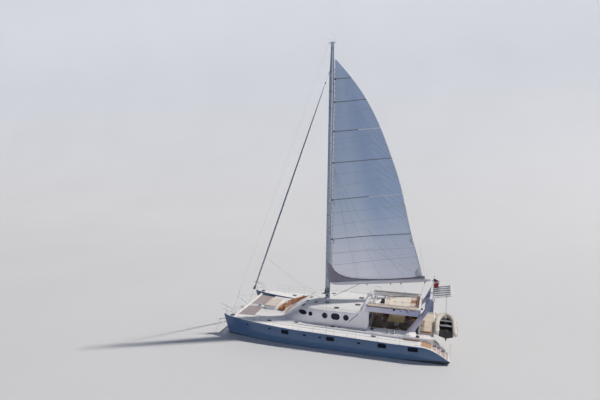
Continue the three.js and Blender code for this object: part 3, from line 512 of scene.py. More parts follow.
def glass_look():
    look = Look("tinted_glass", "dark_glass")
    tone = look.mix(look.noise(0.8, 3), (0.012, 0.016, 0.026), (0.03, 0.035, 0.05))
    look.bump(look.noise(0.5, 2), 0.002)
    rough = look.ramp(look.noise(3.0, 4), 0.3, 0.7, 0.12, 0.22)
    return look.finish(tone, rough, Specular_IOR_Level=0.2)


def flag_look():
    """Red cloth with a white stripe and a dark top, of no nation."""
    look = Look("flag_cloth", "tender_fabric")
    height = look.plus(look.axis("Z"), look.times(look.axis("X"), 0.35))
    drift = look.drift(6.0, 4)
    tone = look.mix(drift, (0.42, 0.03, 0.03), (0.55, 0.05, 0.045))
    stripe = look.times(look.over(height, 2.1), look.under(height, 2.28))
    tone = look.mix(stripe, tone, (0.7, 0.68, 0.66))
    look.bump(look.weave(0.004), 0.0006)
    tone = look.mix(look.over(height, 2.4), tone, (0.03, 0.035, 0.08))
    return look.finish(tone, look.ramp(drift, 0, 1, 0.75, 0.9), Sheen_Weight=0.2)


GELCOAT = gelcoat_look()
HARDTOP = hardtop_look()
HULL = hull_look()
SAIL = sail_look()
NET = net_look()
PANEL = panel_look()
GLASS = glass_look()
ROLL_WITH_PAINTED_SHADE = roll_look()
ARCH = arch_look()
FLAG = flag_look()
# Cloths: name, slot, colour and the weave's pitch
BAG = cloth_look("bag_canvas", "grey_cloth", (0.25, 0.24, 0.285), 0.02, vary=0.14)
BAG_DARK = cloth_look("bag_edge", "grey_cloth", (0.055, 0.045, 0.055), 0.02, vary=0.15)
CUSHION = cloth_look("beige_canvas", "cushion", (0.62, 0.53, 0.43), 0.008, vary=0.07)
PALE_CUSHION = cloth_look("cream_canvas", "cushion", (0.72, 0.66, 0.56), 0.008, vary=0.06)
SAND_CUSHION = cloth_look("sand_canvas", "cushion", (0.64, 0.565, 0.49), 0.008)
GREY_CUSHION = cloth_look("grey_canvas", "cushion", (0.30, 0.30, 0.31), 0.008)
ORANGE_SEAT = cloth_look("orange_canvas", "cushion", (0.42, 0.18, 0.07), 0.008, vary=0.15)
BROWN_SEAT = cloth_look("brown_canvas", "cushion", (0.30, 0.12, 0.055), 0.008, vary=0.15)
DARK_SEAT = cloth_look("dark_canvas", "dark_seat", (0.045, 0.03, 0.03), 0.008, vary=0.2)
RUBBER = cloth_look("tube_fabric", "tender_fabric", (0.60, 0.565, 0.49), 0.004, 0.55, 0.07, 0.0008)
ROPE_WHITE = cloth_look("white_rope", "sailcloth", (0.66, 0.65, 0.62), 0.01)
ROPE_DARK = cloth_look("dark_rope", "black", (0.07, 0.07, 0.085), 0.01, vary=0.2)
TRIM_CLOTH = cloth_look("white_tape", "sailcloth", (0.66, 0.68, 0.70), 0.02, vary=0.05)
# Boards: name, colour and, where it isn't the usual one, a board's width
TEAK = teak_look("teak_boards", (0.34, 0.19, 0.095))
PALE_TEAK = teak_look("pale_boards", (0.60, 0.49, 0.45))
SHADED_TEAK = teak_look("shaded_boards", (0.13, 0.065, 0.045))
SUNLIT_TEAK = teak_look("sunlit_boards", (0.58, 0.34, 0.19))
TABLE = teak_look("table_boards", (0.66, 0.52, 0.22), 0.2)
# Hard finishes: name, slot, colour, roughness and how metallic
ALLOY = plain("painted_alloy", "alloy", (0.50, 0.53, 0.56), 0.35, 0.35, patch=0.6, grain=40)
BOOM_PAINT = plain("boom_paint", "alloy", (0.55, 0.56, 0.60), 0.35, 0.2, patch=0.5, grain=40)
MAST_PAINT = plain("mast_paint", "alloy", (0.30, 0.35, 0.42), 0.3, 0.3, patch=0.5, grain=40)
STEEL = plain("polished_steel", "steel", (0.70, 0.71, 0.72), 0.2, 1.0, vary=0.04, grain=200, depth=0.0002)
BRONZE = plain("bronze", "bronze", (0.42, 0.27, 0.11), 0.3, 1.0, vary=0.15)
TRIM = plain("white_trim", "white_gelcoat", (0.83, 0.82, 0.80), 0.35, vary=0.04)
PAINTED_SHADOW_PANEL = plain("painted_shadow_panel", "slate_gelcoat", (0.125, 0.150, 0.245), 0.4, vary=0.1)
BLACK = plain("black_moulding", "black", (0.018, 0.018, 0.02), 0.45, vary=0.25, grain=150)
RIM = plain("dark_rim", "black", (0.022, 0.026, 0.034), 0.4, vary=0.1)
DARK_RUBBER = plain("grey_strake", "black", (0.09, 0.09, 0.1), 0.6, vary=0.15)
SMOKED = plain("smoked_lid", "dark_glass", (0.02, 0.024, 0.034), 0.3, vary=0.2, grain=20, depth=0.0002)
HULL_GLASS = plain("hull_glass", "dark_glass", (0.006, 0.012, 0.024), 0.5, vary=0.2, grain=20,
                   depth=0.0002, Specular_IOR_Level=0.05)
BATTEN = plain("batten_grey", "grey_cloth", (0.16, 0.175, 0.20), 0.5, vary=0.15)
SEAM = plain("seam_tape", "sailcloth", (0.36, 0.395, 0.44), 0.6, vary=0.1)
THREAD = plain("pale_thread", "sailcloth", (0.74, 0.76, 0.80), 0.6, vary=0.1)
EDGE = plain("edge_tape", "sailcloth", (0.44, 0.48, 0.54), 0.6, vary=0.1)

# Shapes


def at(rows, x, key=1):
    """The table's column at x, on straight lines between rows."""
    if x <= rows[0][0]:
        return rows[0][key]
    for a, b in zip(rows, rows[1:]):
        if x <= b[0]:
            return a[key] + (b[key] - a[key]) * (x - a[0]) / (b[0] - a[0])
    return rows[-1][key]


def smooth_at(rows, x, key=1):
    """The table's column at x, on a smooth curve that keeps to the rows and never overshoots."""
    xs = [r[0] for r in rows]
    ys = [r[key] for r in rows]
    x = min(max(x, xs[0]), xs[-1])
    i = max(k for k in range(len(xs) - 1) if xs[k] <= x)
    slopes = [(ys[k + 1] - ys[k]) / (xs[k + 1] - xs[k]) for k in range(len(xs) - 1)]

    def tangent(k):
        if k == 0:
            return slopes[0]
        if k == len(xs) - 1:
            return slopes[-1]
        a, b = slopes[k - 1], slopes[k]
        return 0.0 if a * b <= 0 else 2 * a * b / (a + b)

    h = xs[i + 1] - xs[i]
    t = (x - xs[i]) / h
    return ((2 * t**3 - 3 * t**2 + 1) * ys[i] + (t**3 - 2 * t**2 + t) * h * tangent(i)
            + (3 * t**2 - 2 * t**3) * ys[i + 1] + (t**3 - t**2) * h * tangent(i + 1))


def through(points, count):
    """count points on a smooth curve through the given ones."""
    points = [Vector(p) for p in points]
    steps = [0.0]
    for a, b in zip(points, points[1:]):
        steps.append(steps[-1] + (b - a).length)
    made = []
    for k in range(count):
        s = steps[-1] * k / (count - 1)
        i = min(max(j for j in range(len(points)) if steps[j] <= s + 1e-9), len(points) - 2)
        t = (s - steps[i]) / (steps[i + 1] - steps[i])
        p0, p1 = points[max(0, i - 1)], points[i]
        p2, p3 = points[i + 1], points[min(len(points) - 1, i + 2)]
        made.append(0.5 * ((2 * p1) + (p2 - p0) * t + (2 * p0 - 5 * p1 + 4 * p2 - p3) * t**2
                           + (3 * p1 - p0 - 3 * p2 + p3) * t**3))
    return made


def evenly(start, end, steps):
    """The steps' ends from start to end."""
    return [start + (end - start) * k / steps for k in range(steps + 1)]


def angles(count, first=0.0):
    """count angles evenly round a circle."""
    return [2 * math.pi * (k + first) / count for k in range(count)]


def rounded(width, height, corner, steps=5):
    """The outline of a rounded rectangle, about its middle."""
    made = []
    for sx, sy, first in ((1, 1, 0), (-1, 1, 1), (-1, -1, 2), (1, -1, 3)):
        for k in range(steps + 1):
            a = (first + k / steps) * math.pi / 2
            made.append((sx * (width / 2 - corner) + corner * math.cos(a),
                         sy * (height / 2 - corner) + corner * math.sin(a)))
    return made


def soft_square(half_a, half_b, power=6, count=24):
    """An outline between an ellipse, at power 2, and a rectangle."""
    made = []
    for a in angles(count, 0.5):
        c, s = math.cos(a), math.sin(a)
        reach = (abs(c) ** power + abs(s) ** power) ** (-1 / power)
        made.append((half_a * c * reach, half_b * s * reach))
    return made


def placed(x, y, z, turn=0.0, axis="Z"):
    """A frame at a point, turned about one of its axes."""
    return Matrix.Translation((x, y, z)) @ Matrix.Rotation(turn, 4, axis)


def two_sided(half, skip=1):
    """An outline of (x, y) pairs, completed by its mirror image across y = 0."""
    return half + [(x, -y) for x, y in reversed(half[skip:])]


def whole(half, first, last):
    """Points in space, completed by the mirror image of some of them across y = 0."""
    return half + [Vector((p.x, -p.y, p.z)) for p in reversed(half[first:last])]


class Shape:
    """Vertices and faces that are gathered and then become one piece."""

    def __init__(self):
        self.verts = []
        self.faces = []

    def add(self, verts, faces, turn=None):
        start = len(self.verts)
        verts = [Vector(v) for v in verts]
        self.verts += [turn @ v for v in verts] if turn else verts
        self.faces += [[start + i for i in face] for face in faces]
        return self

    def loft(self, rings, closed=True, caps=True, turn=None):
        """A skin over rings that have one number of points each."""
        n, last = len(rings[0]), (len(rings) - 1) * len(rings[0])
        faces = []
        for a in range(0, last, n):
            for i in range(n if closed else n - 1):
                j = (i + 1) % n
                faces.append([a + i, a + j, a + n + j, a + n + i])
        if caps:
            faces += [list(reversed(range(n))), list(range(last, last + n))]
        return self.add([p for ring in rings for p in ring], faces, turn)

    def stack(self, outline, levels, foot=(0, 0, 0), turn=None):
        """One outline over a foot, at several levels: its share of full size and its height."""
        x, y, z = foot
        return self.loft([[(x + u * k, y + v * k, z + h) for u, v in outline] for k, h in levels],
                         turn=turn)

    def tube(self, points, radius, sides=10, closed=False):
        """A round tube through points; radius is one number, or one for each point."""
        points = [Vector(p) for p in points]
        radii = radius if isinstance(radius, (list, tuple)) else [radius] * len(points)
        count = len(points)
        rings = []
        side = None
        for i, p in enumerate(points):
            ahead = points[(i + 1) % count] if closed or i + 1 < count else p
            behind = points[i - 1] if closed or i else p
            way = (ahead - behind).normalized()
            if side is None:
                side = way.orthogonal().normalized()
            side = (side - way * side.dot(way)).normalized()
            other = way.cross(side)
            rings.append([p + radii[i] * (math.cos(a) * side + math.sin(a) * other) for a in angles(sides)])
        if closed:
            rings.append(rings[0])
        return self.loft(rings, caps=not closed)

    def box(self, x0, x1, y0, y1, z0, z1, turn=None):
        corners = [(x, y, z) for z in (z0, z1) for x, y in ((x0, y0), (x1, y0), (x1, y1), (x0, y1))]
        sides = [[3, 2, 1, 0], [4, 5, 6, 7], [0, 1, 5, 4], [1, 2, 6, 5], [2, 3, 7, 6], [3, 0, 4, 7]]
        return self.add(corners, sides, turn)

    def lathe(self, profile, sides=20, turn=None):
        """A body turned about Z from (radius, height) pairs, then placed by turn."""
        return self.loft([[(r * math.cos(a), r * math.sin(a), z) for a in angles(sides)]
                          for r, z in profile],
                         turn=turn)

    def mirrored(self):
        made = Shape()
        made.verts = [Vector((v.x, -v.y, v.z)) for v in self.verts]
        made.faces = [list(reversed(face)) for face in self.faces]
        return made

    def mesh(self, name):
        mesh = bpy.data.meshes.new(name)
        mesh.from_pydata(self.verts, [], self.faces)
        mesh.validate()
        made = bmesh.new()
        made.from_mesh(mesh)
        bmesh.ops.remove_doubles(made, verts=made.verts, dist=1e-5)
        bmesh.ops.recalc_face_normals(made, faces=made.faces)
        made.to_mesh(mesh)
        made.free()
        return mesh

    def tree(self):
        """The shape as a surface that rays can be cast at."""
        return surface_tree(self.mesh("surface"), spent=True)


def surface_tree(mesh, spent=False):
    tree = BVHTree.FromPolygons([v.co.copy() for v in mesh.vertices],
                                [list(p.vertices) for p in mesh.polygons])
    if spent:
        bpy.data.meshes.remove(mesh)
    return tree


def lies_on(tree, start, way, out):
    """Where a ray meets a surface, moved off it by a little on the side that the ray came from."""
    hit, normal, _, _ = tree.ray_cast(Vector(start), Vector(way))
    return hit + (normal if normal.dot(Vector(way)) < 0 else -normal) * out


def put(name, shape, material, body="boat", slot=None, sharp=35, bevel=0.0, thick=0.0, replaces=(),
        rides=True):
    """Makes one piece of a shape, dresses it and lets it ride on its body."""
    mesh = shape.mesh(name) if isinstance(shape, Shape) else shape
    made = link_object(name, mesh)
    mesh.materials.clear()
    mesh.materials.append(material)
    mesh.shade_smooth()
    mesh.set_sharp_from_angle(angle=math.radians(sharp))
    if thick:
        skin = made.modifiers.new("thickness", "SOLIDIFY")
        skin.thickness = thick
        skin.offset = 0
    if bevel:
        edge = made.modifiers.new("edges", "BEVEL")
        edge.width = bevel
        edge.segments = 2
        edge.limit_method = "ANGLE"
        edge.angle_limit = math.radians(sharp)
        edge.harden_normals = True
    if rides:
        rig.ride(made, body)
    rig.slot(made, slot or SLOTS[material.name])
    if replaces:
        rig.replaces(made, *replaces)
    return made


def both(name, shape, material, replaces=(), **more):
    """The port piece and its mirror image to starboard."""
    for side, body in (("port", shape), ("starboard", shape.mirrored())):
        put(f"{name}_{side}", body, material, replaces=[f"{node}_{side}" for node in replaces], **more)


def carved(shape, name, cutters):
    """The shape's mesh with the cutters' solids cut away."""
    body = link_object(name, shape.mesh(name))
    for cutter in cutters:
        tool = link_object("cutter", cutter.mesh("cutter"))
        step = body.modifiers.new("cut", "BOOLEAN")
        step.operation = "DIFFERENCE"
        step.solver = "EXACT"
        step.object = tool
        bpy.context.view_layer.update()
        ready = body.evaluated_get(bpy.context.evaluated_depsgraph_get())
        mesh = bpy.data.meshes.new_from_object(ready)
        body.modifiers.clear()
        body.data = mesh
        bpy.data.objects.remove(tool)
    mesh = body.data
    bpy.data.objects.remove(body)
    return mesh


def flipped(mesh, name):
    """The starboard copy of a port mesh."""
    made = mesh.copy()
    made.name = name
    made.transform(Matrix.Scale(-1, 4, Vector((0, 1, 0))))
    made.flip_normals()
    return made


def dress(material, *names):
    """Gives CAD nodes a finished material."""
    for name in names:
        mesh = frame["nodes"][name].data
        mesh.materials.clear()
        mesh.materials.append(material)


def grid_faces(rows, columns):
    """The faces between a grid's points, row by row."""
    return [[i * columns + j, i * columns + j + 1, (i + 1) * columns + j + 1, (i + 1) * columns + j]
            for i in range(rows - 1) for j in range(columns - 1)]


def cloth_grid(point, rows, columns):
    """A sheet's points, row by row: point(u, v) gives one at a share u along and v up."""
    return [[point(j / columns, i / rows) for j in range(columns + 1)] for i in range(rows + 1)]


def cloth(name, grid, material, thick, **more):
    """A thin sheet over a grid of points."""
    shape = Shape().add([p for row in grid for p in row], grid_faces(len(grid), len(grid[0])))
    return put(name, shape, material, thick=thick, sharp=80, **more)


def cloth_area(grid):
    """The area of a grid's cells."""
    return sum((grid[i + 1][j] - grid[i][j]).cross(grid[i][j + 1] - grid[i][j]).length
               for i in range(len(grid) - 1) for j in range(len(grid[0]) - 1))


CUSHION_LEVELS = (-1, -0.75, -0.3, 0.3, 0.75, 1)
PIPING = 0.007


def cushion(name, low, high, material, turn=None, square=10, crown=0.0, slot=None, seed=0, replaces=()):
    """A stuffed pad between two corners: crowned faces, soft wrinkles and a piped seam."""
    low, high = Vector(low), Vector(high)
    middle, half = (low + high) / 2, (high - low) / 2
    flat = min(range(3), key=lambda i: half[i])
    wide = [i for i in range(3) if i != flat]
    counts = [max(6, min(22, int(half[i] / 0.05))) for i in wide]
    steps = [[math.sin((2 * k / n - 1) * math.pi / 2) for k in range(n + 1)] for n in counts]

    def place(a, b, c):
        reach = (abs(a) ** square + abs(b) ** square + abs(c) ** square) ** (-1 / square)
        p = Vector((0, 0, 0))
        p[wide[0]], p[wide[1]], p[flat] = a * reach, b * reach, c * reach
        spot = Vector((p[0] * half[0], p[1] * half[1], p[2] * half[2]))
        edge = 1 - max(abs(a), abs(b)) ** 4
        dip = noise((spot + middle) * 5 + Vector((seed, 0, 0))) * 0.012 + crown * (edge - 1)
        spot[flat] += math.copysign(max(0.0, abs(c) - 0.5) * 2 * dip, c)
        ripple = noise((spot + middle) * 11 + Vector((0, seed, 0))) * 0.006
        spot -= Vector([ripple * p[i] ** 2 if i in wide else 0 for i in range(3)])
        return middle + spot

    shape = Shape()
    for end in (-1, 1):
        shape.add([place(a, b, end) for a in steps[0] for b in steps[1]],
                  grid_faces(counts[0] + 1, counts[1] + 1))
    rim = ([(a, -1) for a in steps[0]] + [(1, b) for b in steps[1][1:]]
           + [(a, 1) for a in reversed(steps[0][:-1])] + [(-1, b) for b in reversed(steps[1][1:-1])])
    shape.loft([[place(a, b, c) for a, b in rim] for c in CUSHION_LEVELS], caps=False)
    for c in (-0.8, 0.8):
        shape.tube([place(a, b, c) for a, b in rim], PIPING, 6, closed=True)
    if turn:
        shape.verts = [turn @ v for v in shape.verts]
    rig.padded(put(name, shape, material, slot=slot, sharp=60, replaces=replaces), 0.75)


def pad(name, half, material, turn, **more):
    """A cushion about its own middle, placed by turn."""
    cushion(name, [-h for h in half], half, material, turn=turn, **more)


WINCH = [(0.0, 0.0), (0.105, 0.0), (0.11, 0.015), (0.085, 0.04), (0.07, 0.08), (0.075, 0.13), (0.1, 0.15),
         (0.105, 0.165), (0.092, 0.175), (0.104, 0.185), (0.1, 0.2), (0.05, 0.205), (0.03, 0.19),
         (0.0, 0.19)]


def winch(shape, place, size=1.0, sides=20):
    return shape.lathe([(r * size, h * size) for r, h in WINCH], sides, place)


def cleat(shape, place):
    horns = [(-0.5, 0.02), (-0.3, 0.0), (-0.1, 0), (0.1, 0), (0.3, 0.0), (0.5, 0.02)]
    shape.tube([place @ Vector((a * 0.3, 0, 0.055 + b)) for a, b in horns],
               [0.006, 0.013, 0.018, 0.018, 0.013, 0.006], 8)
    for s in (-1, 1):
        shape.tube([place @ Vector((s * 0.05, 0, z)) for z in (0, 0.055)], [0.022, 0.013], 8)


# Hulls

# x, half width at the deck, half width at the waterline, deck height, keel depth, stem slant
STATIONS = [
    (-12.50, 1.000, 0.900, 0.400, 0.150, 0), (-12.15, 1.030, 0.930, 0.620, 0.030, 0),
    (-11.60, 1.075, 0.960, 0.970, -0.170, 0), (-10.80, 1.145, 0.990, 1.380, -0.400, 0),
    (-10.20, 1.195, 1.010, 1.560, -0.520, 0), (-9.70, 1.225, 1.025, 1.620, -0.590, 0),
    (-7.50, 1.250, 1.060, 1.630, -0.840, 0), (-4.00, 1.250, 1.080, 1.700, -1.000, 0),
    (0.00, 1.250, 1.080, 1.770, -1.020, 0), (3.50, 1.230, 1.040, 1.830, -1.020, 0),
    (6.00, 1.150, 0.920, 1.930, -1.000, 0), (8.00, 0.980, 0.730, 2.020, -0.950, 0.03),
    (9.60, 0.725, 0.480, 2.065, -0.880, 0.10), (11.00, 0.450, 0.260, 2.130, -0.770, 0.20),
    (11.90, 0.250, 0.130, 2.190, -0.660, 0.26), (12.50, 0.095, 0.055, 2.270, -0.540, 0.28),
]
BILGE = [(1, 0), (0.93, 0.4), (0.72, 0.75), (0.36, 0.95), (0, 1)]
HATCH_X = 11.43
KEEL = [(2.6, 0.0), (2.45, 0.09), (1.9, 0.17), (0.8, 0.19), (-0.6, 0.19), (-1.5, 0.17), (-2.3, 0.06)]
KEEL_X = 0.15


def deck_at(x):
    return smooth_at(STATIONS, x, 3)


def hull_ring(x):
    deck, water, top, keel, slant = (smooth_at(STATIONS, x, k) for k in range(1, 6))
    level = max(0.0, keel + 0.06)
    side = [(0, deck, top), (0, deck - (deck - water) * 0.35, level + (top - level) * 0.5)]
    side += [(0, water * w, level + (keel - level) * d) for w, d in BILGE]
    side = through(side[:3], 6)[:-1] + through(side[2:], 9)
    return [(x - slant * (top - p.z), HULL_Y + p.y, p.z) for p in whole(side, 0, -1)]


def hull_shape():
    xs = [-12.5 + 0.25 * i for i in range(14)] + [-9.0 + 0.5 * i for i in range(34)]
    xs += [8.0 + 0.3 * i for i in range(15)] + [12.4, 12.5]
    return Shape().loft([hull_ring(x) for x in xs])


def stair_cutter():
    """The block of air over the stern steps."""
    line = []
    for x, z in STEPS:
        line += [(x, line[-1][1] if line else 3.0), (x, z)]
    line += [(-13.0, STEPS[-1][1]), (-13.0, 3.0)]
    return Shape().loft([[(x, HULL_Y + y, z) for x, z in line] for y in (-STEP_HALF, STEP_HALF)])


def hull_fittings():
    """Keel, rudder boss and the leg with the propeller's gearcase."""
    shape = Shape()
    rings = []
    for z, share in ((-0.6, 1.0), (-1.3, 0.87), (-1.56, 0.8), (-1.68, 0.66), (-1.72, 0.5)):
        edge = [(KEEL_X + (x - KEEL_X) * (0.7 + 0.3 * share), y * share) for x, y in KEEL]
        rings.append([(x, HULL_Y + y, z) for x, y in two_sided(edge)])
    shape.loft(rings)
    shape.tube([(-10.3, HULL_Y, 0), (-10.3, HULL_Y, -0.64)], 0.095, 20)
    shape.tube([(x, HULL_Y, -1.2) for x in (-8.45, -8.3, -8.02)], [0.085, 0.09, 0.05], 20)
    leg = two_sided([(-8.39, 0.01), (-8.3, 0.045), (-8.18, 0.045), (-8.12, 0.01)], 0)
    return shape.loft([[(x, HULL_Y + y, z) for x, y in leg] for z in (-1.2, -0.5)])


skin = carved(hull_shape(), "hull_skin", [
    stair_cutter(),
    Shape().box(HATCH_X - 0.19, HATCH_X + 0.17, HULL_Y - 0.16, HULL_Y + 0.16, 1.5, 3.0),
])
hull_tree = surface_tree(skin)
below = hull_fittings().mesh("hull_parts")
for side, s in SIDES:
    top = skin if s > 0 else flipped(skin, "hull_skin_starboard")
    low = below if s > 0 else flipped(below, "hull_parts_starboard")
    put(f"hull_skin_{side}", top, HULL, sharp=32, replaces=(f"hull_{side}",))
    put(f"hull_parts_{side}", low, HULL, sharp=40)


def on_hull(x, z, out):
    """A point off the port hull's outer side."""
    return lies_on(hull_tree, (x, 9.0, z), (0, -1, 0), out)


# x, z, length, height, corner radius
HULL_WINDOWS = [
    (4.59, 1.42, 0.85, 0.46, 0.1), (-0.51, 1.30, 0.85, 0.46, 0.1), (-5.93, 1.27, 0.85, 0.46, 0.1),
    (-8.98, 1.27, 1.0, 0.45, 0.1), (9.25, 1.56, 0.3, 0.18, 0.08), (6.4, 1.58, 0.3, 0.18, 0.08),
    (2.33, 1.36, 0.36, 0.2, 0.08), (0.61, 1.32, 0.32, 0.2, 0.08), (-3.54, 1.25, 0.36, 0.18, 0.08),
]
panes, rims = Shape(), Shape()
for x, z, width, height, corner in HULL_WINDOWS:
    outline = [(x + u, z + v) for u, v in rounded(width, height, corner)]
    panes.loft([[on_hull(*p, out) for p in outline] for out in (-0.02, 0.006)])
    rims.tube([on_hull(*p, 0.004) for p in outline], 0.013, 8, closed=True)
both("hull_glass", panes, HULL_GLASS)
both("hull_window_rims", rims, RIM)

# The sheer: a slim white moulding along the deck's edge, outside and inside
sheer = Shape()
for s in (1, -1):
    sheer.tube([(x, HULL_Y + s * (smooth_at(STATIONS, x, 1) - 0.012), deck_at(x) + 0.012)
                for x in evenly(-12.48, 12.42, 99)], 0.028, 8)
both("sheer_moulding", sheer, TRIM)

# Teak on the stern steps and the aft side decks
treads = Shape()
for (x, z), end in zip(STEPS, [x for x, _ in STEPS[1:]] + [-12.38]):
    treads.box(end + 0.03, x - 0.03, HULL_Y - 0.84, HULL_Y + 0.84, z + 0.001, z + 0.02)
both("step_teak", treads, PALE_TEAK, bevel=0.005)


def deck_top(x, y):
    """The walking surface: the hull's deck, the raised deck, or the coaming's fairing."""
    if y > RAISED_HALF or x > 9.3:
        return deck_at(x)
    if -9.14 < x < -4.16 and y > 3.6:
        return 2.15 - max(0.0, y - 3.6) / 0.65 * 0.2
    return max(DECK_Z, deck_at(x))


def deck_strip(xs, y0, y1, h0, h1):
    """A band laid along the hull's deck, from h0 to h1 above it."""
    section = ((y0, h0), (y1, h0), (y1, h1), (y0, h1))
    return Shape().loft([[(x, y, deck_at(x) + h) for y, h in section] for x in xs])


# The deck ahead of the steps is laid with teak, and the raised deck has a rounded edge.
both("aft_deck_teak", deck_strip(evenly(-10.76, -9.76, 10), 4.34, 5.5, 0.002, 0.016), SUNLIT_TEAK)
EDGE_Y, EDGE_Z = RAISED_HALF - 0.01, DECK_Z - 0.004
edge = Shape().tube([(x, EDGE_Y, EDGE_Z) for x in (-10.89, -4.0, 0.0, 3.0, 5.3)], 0.03)
edge.tube([(-10.89, y, EDGE_Z) for y in (0.0, 2.0, EDGE_Y)], 0.03)
both("raised_deck_edge", edge, TRIM)

# Saloon

ROOF_Z = 3.65
SHOULDER_Z = 3.5
CABIN_AFT_X = -4.1
CABIN_FOOT = [(-4.1, 3.6), (2.6, 3.6), (3.7, 3.53), (4.6, 3.35), (5.4, 2.85), (5.9, 2.3), (6.18, 1.5),
              (6.3, 0.7)]
CABIN_SHOULDER = [(-4.1, 3.42), (1.2, 3.42), (2.0, 3.3), (2.6, 3.0), (3.1, 2.45), (3.4, 1.9), (3.6, 1.2),
                  (3.7, 0.55)]
CABIN_CROWN = [(-4.1, 2.0), (1.2, 2.0), (1.65, 1.85), (2.0, 1.6), (2.25, 1.3), (2.4, 1.0), (2.48, 0.65),
               (2.5, 0.35)]
WALL = 0.09
# x, z, length, height, and whether it narrows towards the bow
SIDE_WINDOWS = [
    (3.375, 2.88, 0.85, 0.35, True), (2.36, 2.88, 0.42, 0.42, False), (0.68, 2.88, 0.60, 0.60, False),
    (-0.52, 2.88, 0.95, 0.65, False), (-1.71, 2.88, 0.58, 0.58, False),
]


def cabin_line(rows, inset):
    """Half of a plan outline, from aft to the nose, drawn in by the inset."""
    points = [Vector((x, y, 0)) for x, y in rows] + [Vector((rows[-1][0], 0, 0))]
    curve = [points[0]] + through(points[1:], 26)
    made = []
    for i, p in enumerate(curve):
        a = (curve[i] - curve[i - 1]).normalized() if i else Vector((1, 0, 0))
        b = (curve[i + 1] - p).normalized() if i + 1 < len(curve) else Vector((0, -1, 0))
        out = Vector((-a.y, a.x, 0)) + Vector((-b.y, b.x, 0))
        made.append(p - out * inset / (1 + a.dot(b)) if i + 1 < len(curve) else p - Vector((inset, 0, 0)))
    return made


def cabin_shape(inset, overrun=0.0):
    """The saloon's outside, or the room inside it; overrun lets the room break through aft and below."""
    foot, shoulder, crown = (cabin_line(rows, inset) for rows in (CABIN_FOOT, CABIN_SHOULDER, CABIN_CROWN))
    low, top = SHOULDER_Z - inset, ROOF_Z - inset
    levels = []
    if overrun:
        levels.append([Vector((p.x, p.y, DECK_Z - overrun)) for p in foot])
    for k in range(3):
        t = k / 3 * 0.92
        levels.append([f.lerp(s, t) + Vector((0, 0, DECK_Z + (low - DECK_Z) * t))
                       for f, s in zip(foot, shoulder)])
    for f, c in ((0.08, 0.0), (0.02, 0.04), (0.0, 0.14), (0.0, 0.5), (0.0, 1.0)):
        ring = []
        for a, b, d in zip(foot, shoulder, crown):
            p = b.lerp(a, f) if f else b.lerp(d, c)
            if f and c:
                p = b.lerp(a, f).lerp(b.lerp(d, c), 0.5)
            ring.append(Vector((p.x, p.y, low - (low - DECK_Z) * f + (top - low) * c)))
        levels.append(ring)
    for level in levels:
        level[0].x -= overrun
    return Shape().loft([whole(level, 0, -1) for level in levels])


def window_outline(x, z, length, height, tapers, grow=0.0):
    made = []
    length += 2 * grow
    height += 2 * grow
    for a in angles(32, 0.5):
        c, s = math.cos(a), math.sin(a)
        straight = max(0, length - height) / 2
        taper = 0.35 + 0.65 * (1 - (c + 1) / 2) if tapers else 1
        made.append((x + math.copysign(straight, c) + c * height / 2, z + s * height / 2 * taper))
    return made


def window_cutter(row, s):
    return Shape().loft([[(x, s * y, z) for x, z in window_outline(*row)] for y in (2.3, 4.2)])


cutters = [cabin_shape(WALL, 0.5)] + [window_cutter(row, s) for row in SIDE_WINDOWS for _, s in SIDES]
put("saloon_skin", carved(cabin_shape(0), "saloon_skin", cutters), GELCOAT, sharp=38,
    replaces=("saloon_shell",))
cabin_tree = cabin_shape(0).tree()


def on_cabin_side(x, z, out):
    return lies_on(cabin_tree, (x, 6.0, z), (0, -1, 0), out)


def on_roof(x, y, out):
    return lies_on(cabin_tree, (x, y, 6.0), (0, 0, -1), out)


def leaf(share):
    """The outline of the flush foremost pane, pointed forward."""
    turns = [(math.cos(a), math.sin(a)) for a in angles(36)]
    return [(3.40 + 0.56 * share * c, 2.86 - 0.03 * share * c + 0.197 * share * s * (1 - 0.28 * c))
            for c, s in turns]


panes, rims = Shape(), Shape()
for row in SIDE_WINDOWS:
    outline = window_outline(*row, grow=0.012)
    panes.loft([[on_cabin_side(x, z, out) for x, z in outline] for out in (-0.03, -0.012)])
    rims.tube([on_cabin_side(x, z, 0.002) for x, z in outline], 0.016, 8, closed=True)
LEAF_LEVELS = ((1, -0.004), (1, 0.006), (0.94, 0.01), (0.75, 0.01), (0.5, 0.01), (0.25, 0.01), (0.03, 0.01))
panes.loft([[on_cabin_side(x, z, out) for x, z in leaf(share)] for share, out in LEAF_LEVELS])
both("saloon_panes", panes, GLASS, replaces=("glazing",))
both("saloon_window_rims", rims, RIM)


def hatches(rows, corner, lid, rim, place):
    """Lids and their frames; the levels of each give a share of full size and a height."""
    lids, frames = Shape(), Shape()
    for x, y, length, width in rows:
        outline = rounded(length, width, corner)
        lids.loft([[place(x, y, u, v, k, h) for u, v in outline] for k, h in lid])
        frames.loft([[place(x, y, u, v, k, h) for u, v in outline] for k, h in rim], caps=False)
    return lids, frames


# Roof hatches: x, y, length, width
ROOF_HATCHES = [(3.55, 2.1, 0.5, 0.42), (2.22, 1.6, 0.46, 0.4), (3.3, 1.2, 0.42, 0.42),
                (0.95, 1.45, 0.55, 0.42),
                (-0.48, 2.65, 0.55, 0.42), (3.25, -0.1, 0.42, 0.42), (0.95, -1.95, 0.5, 0.42),
                (-2.6, 1.2, 0.6, 0.6), (-2.6, -1.2, 0.6, 0.6), (3.55, -2.1, 0.5, 0.42),
                (2.22, -1.6, 0.46, 0.4)]
lids, frames = hatches(ROOF_HATCHES, 0.09, ((0.9, -0.01), (0.9, 0.03), (0.84, 0.036)),
                       ((1.0, -0.01), (1.0, 0.022), (0.93, 0.028), (0.88, 0.0)),
                       lambda x, y, u, v, k, h: on_roof(x + u * k, y + v * k, h))
put("roof_hatch_lids", lids, SMOKED)
put("roof_hatch_frames", frames, STEEL)

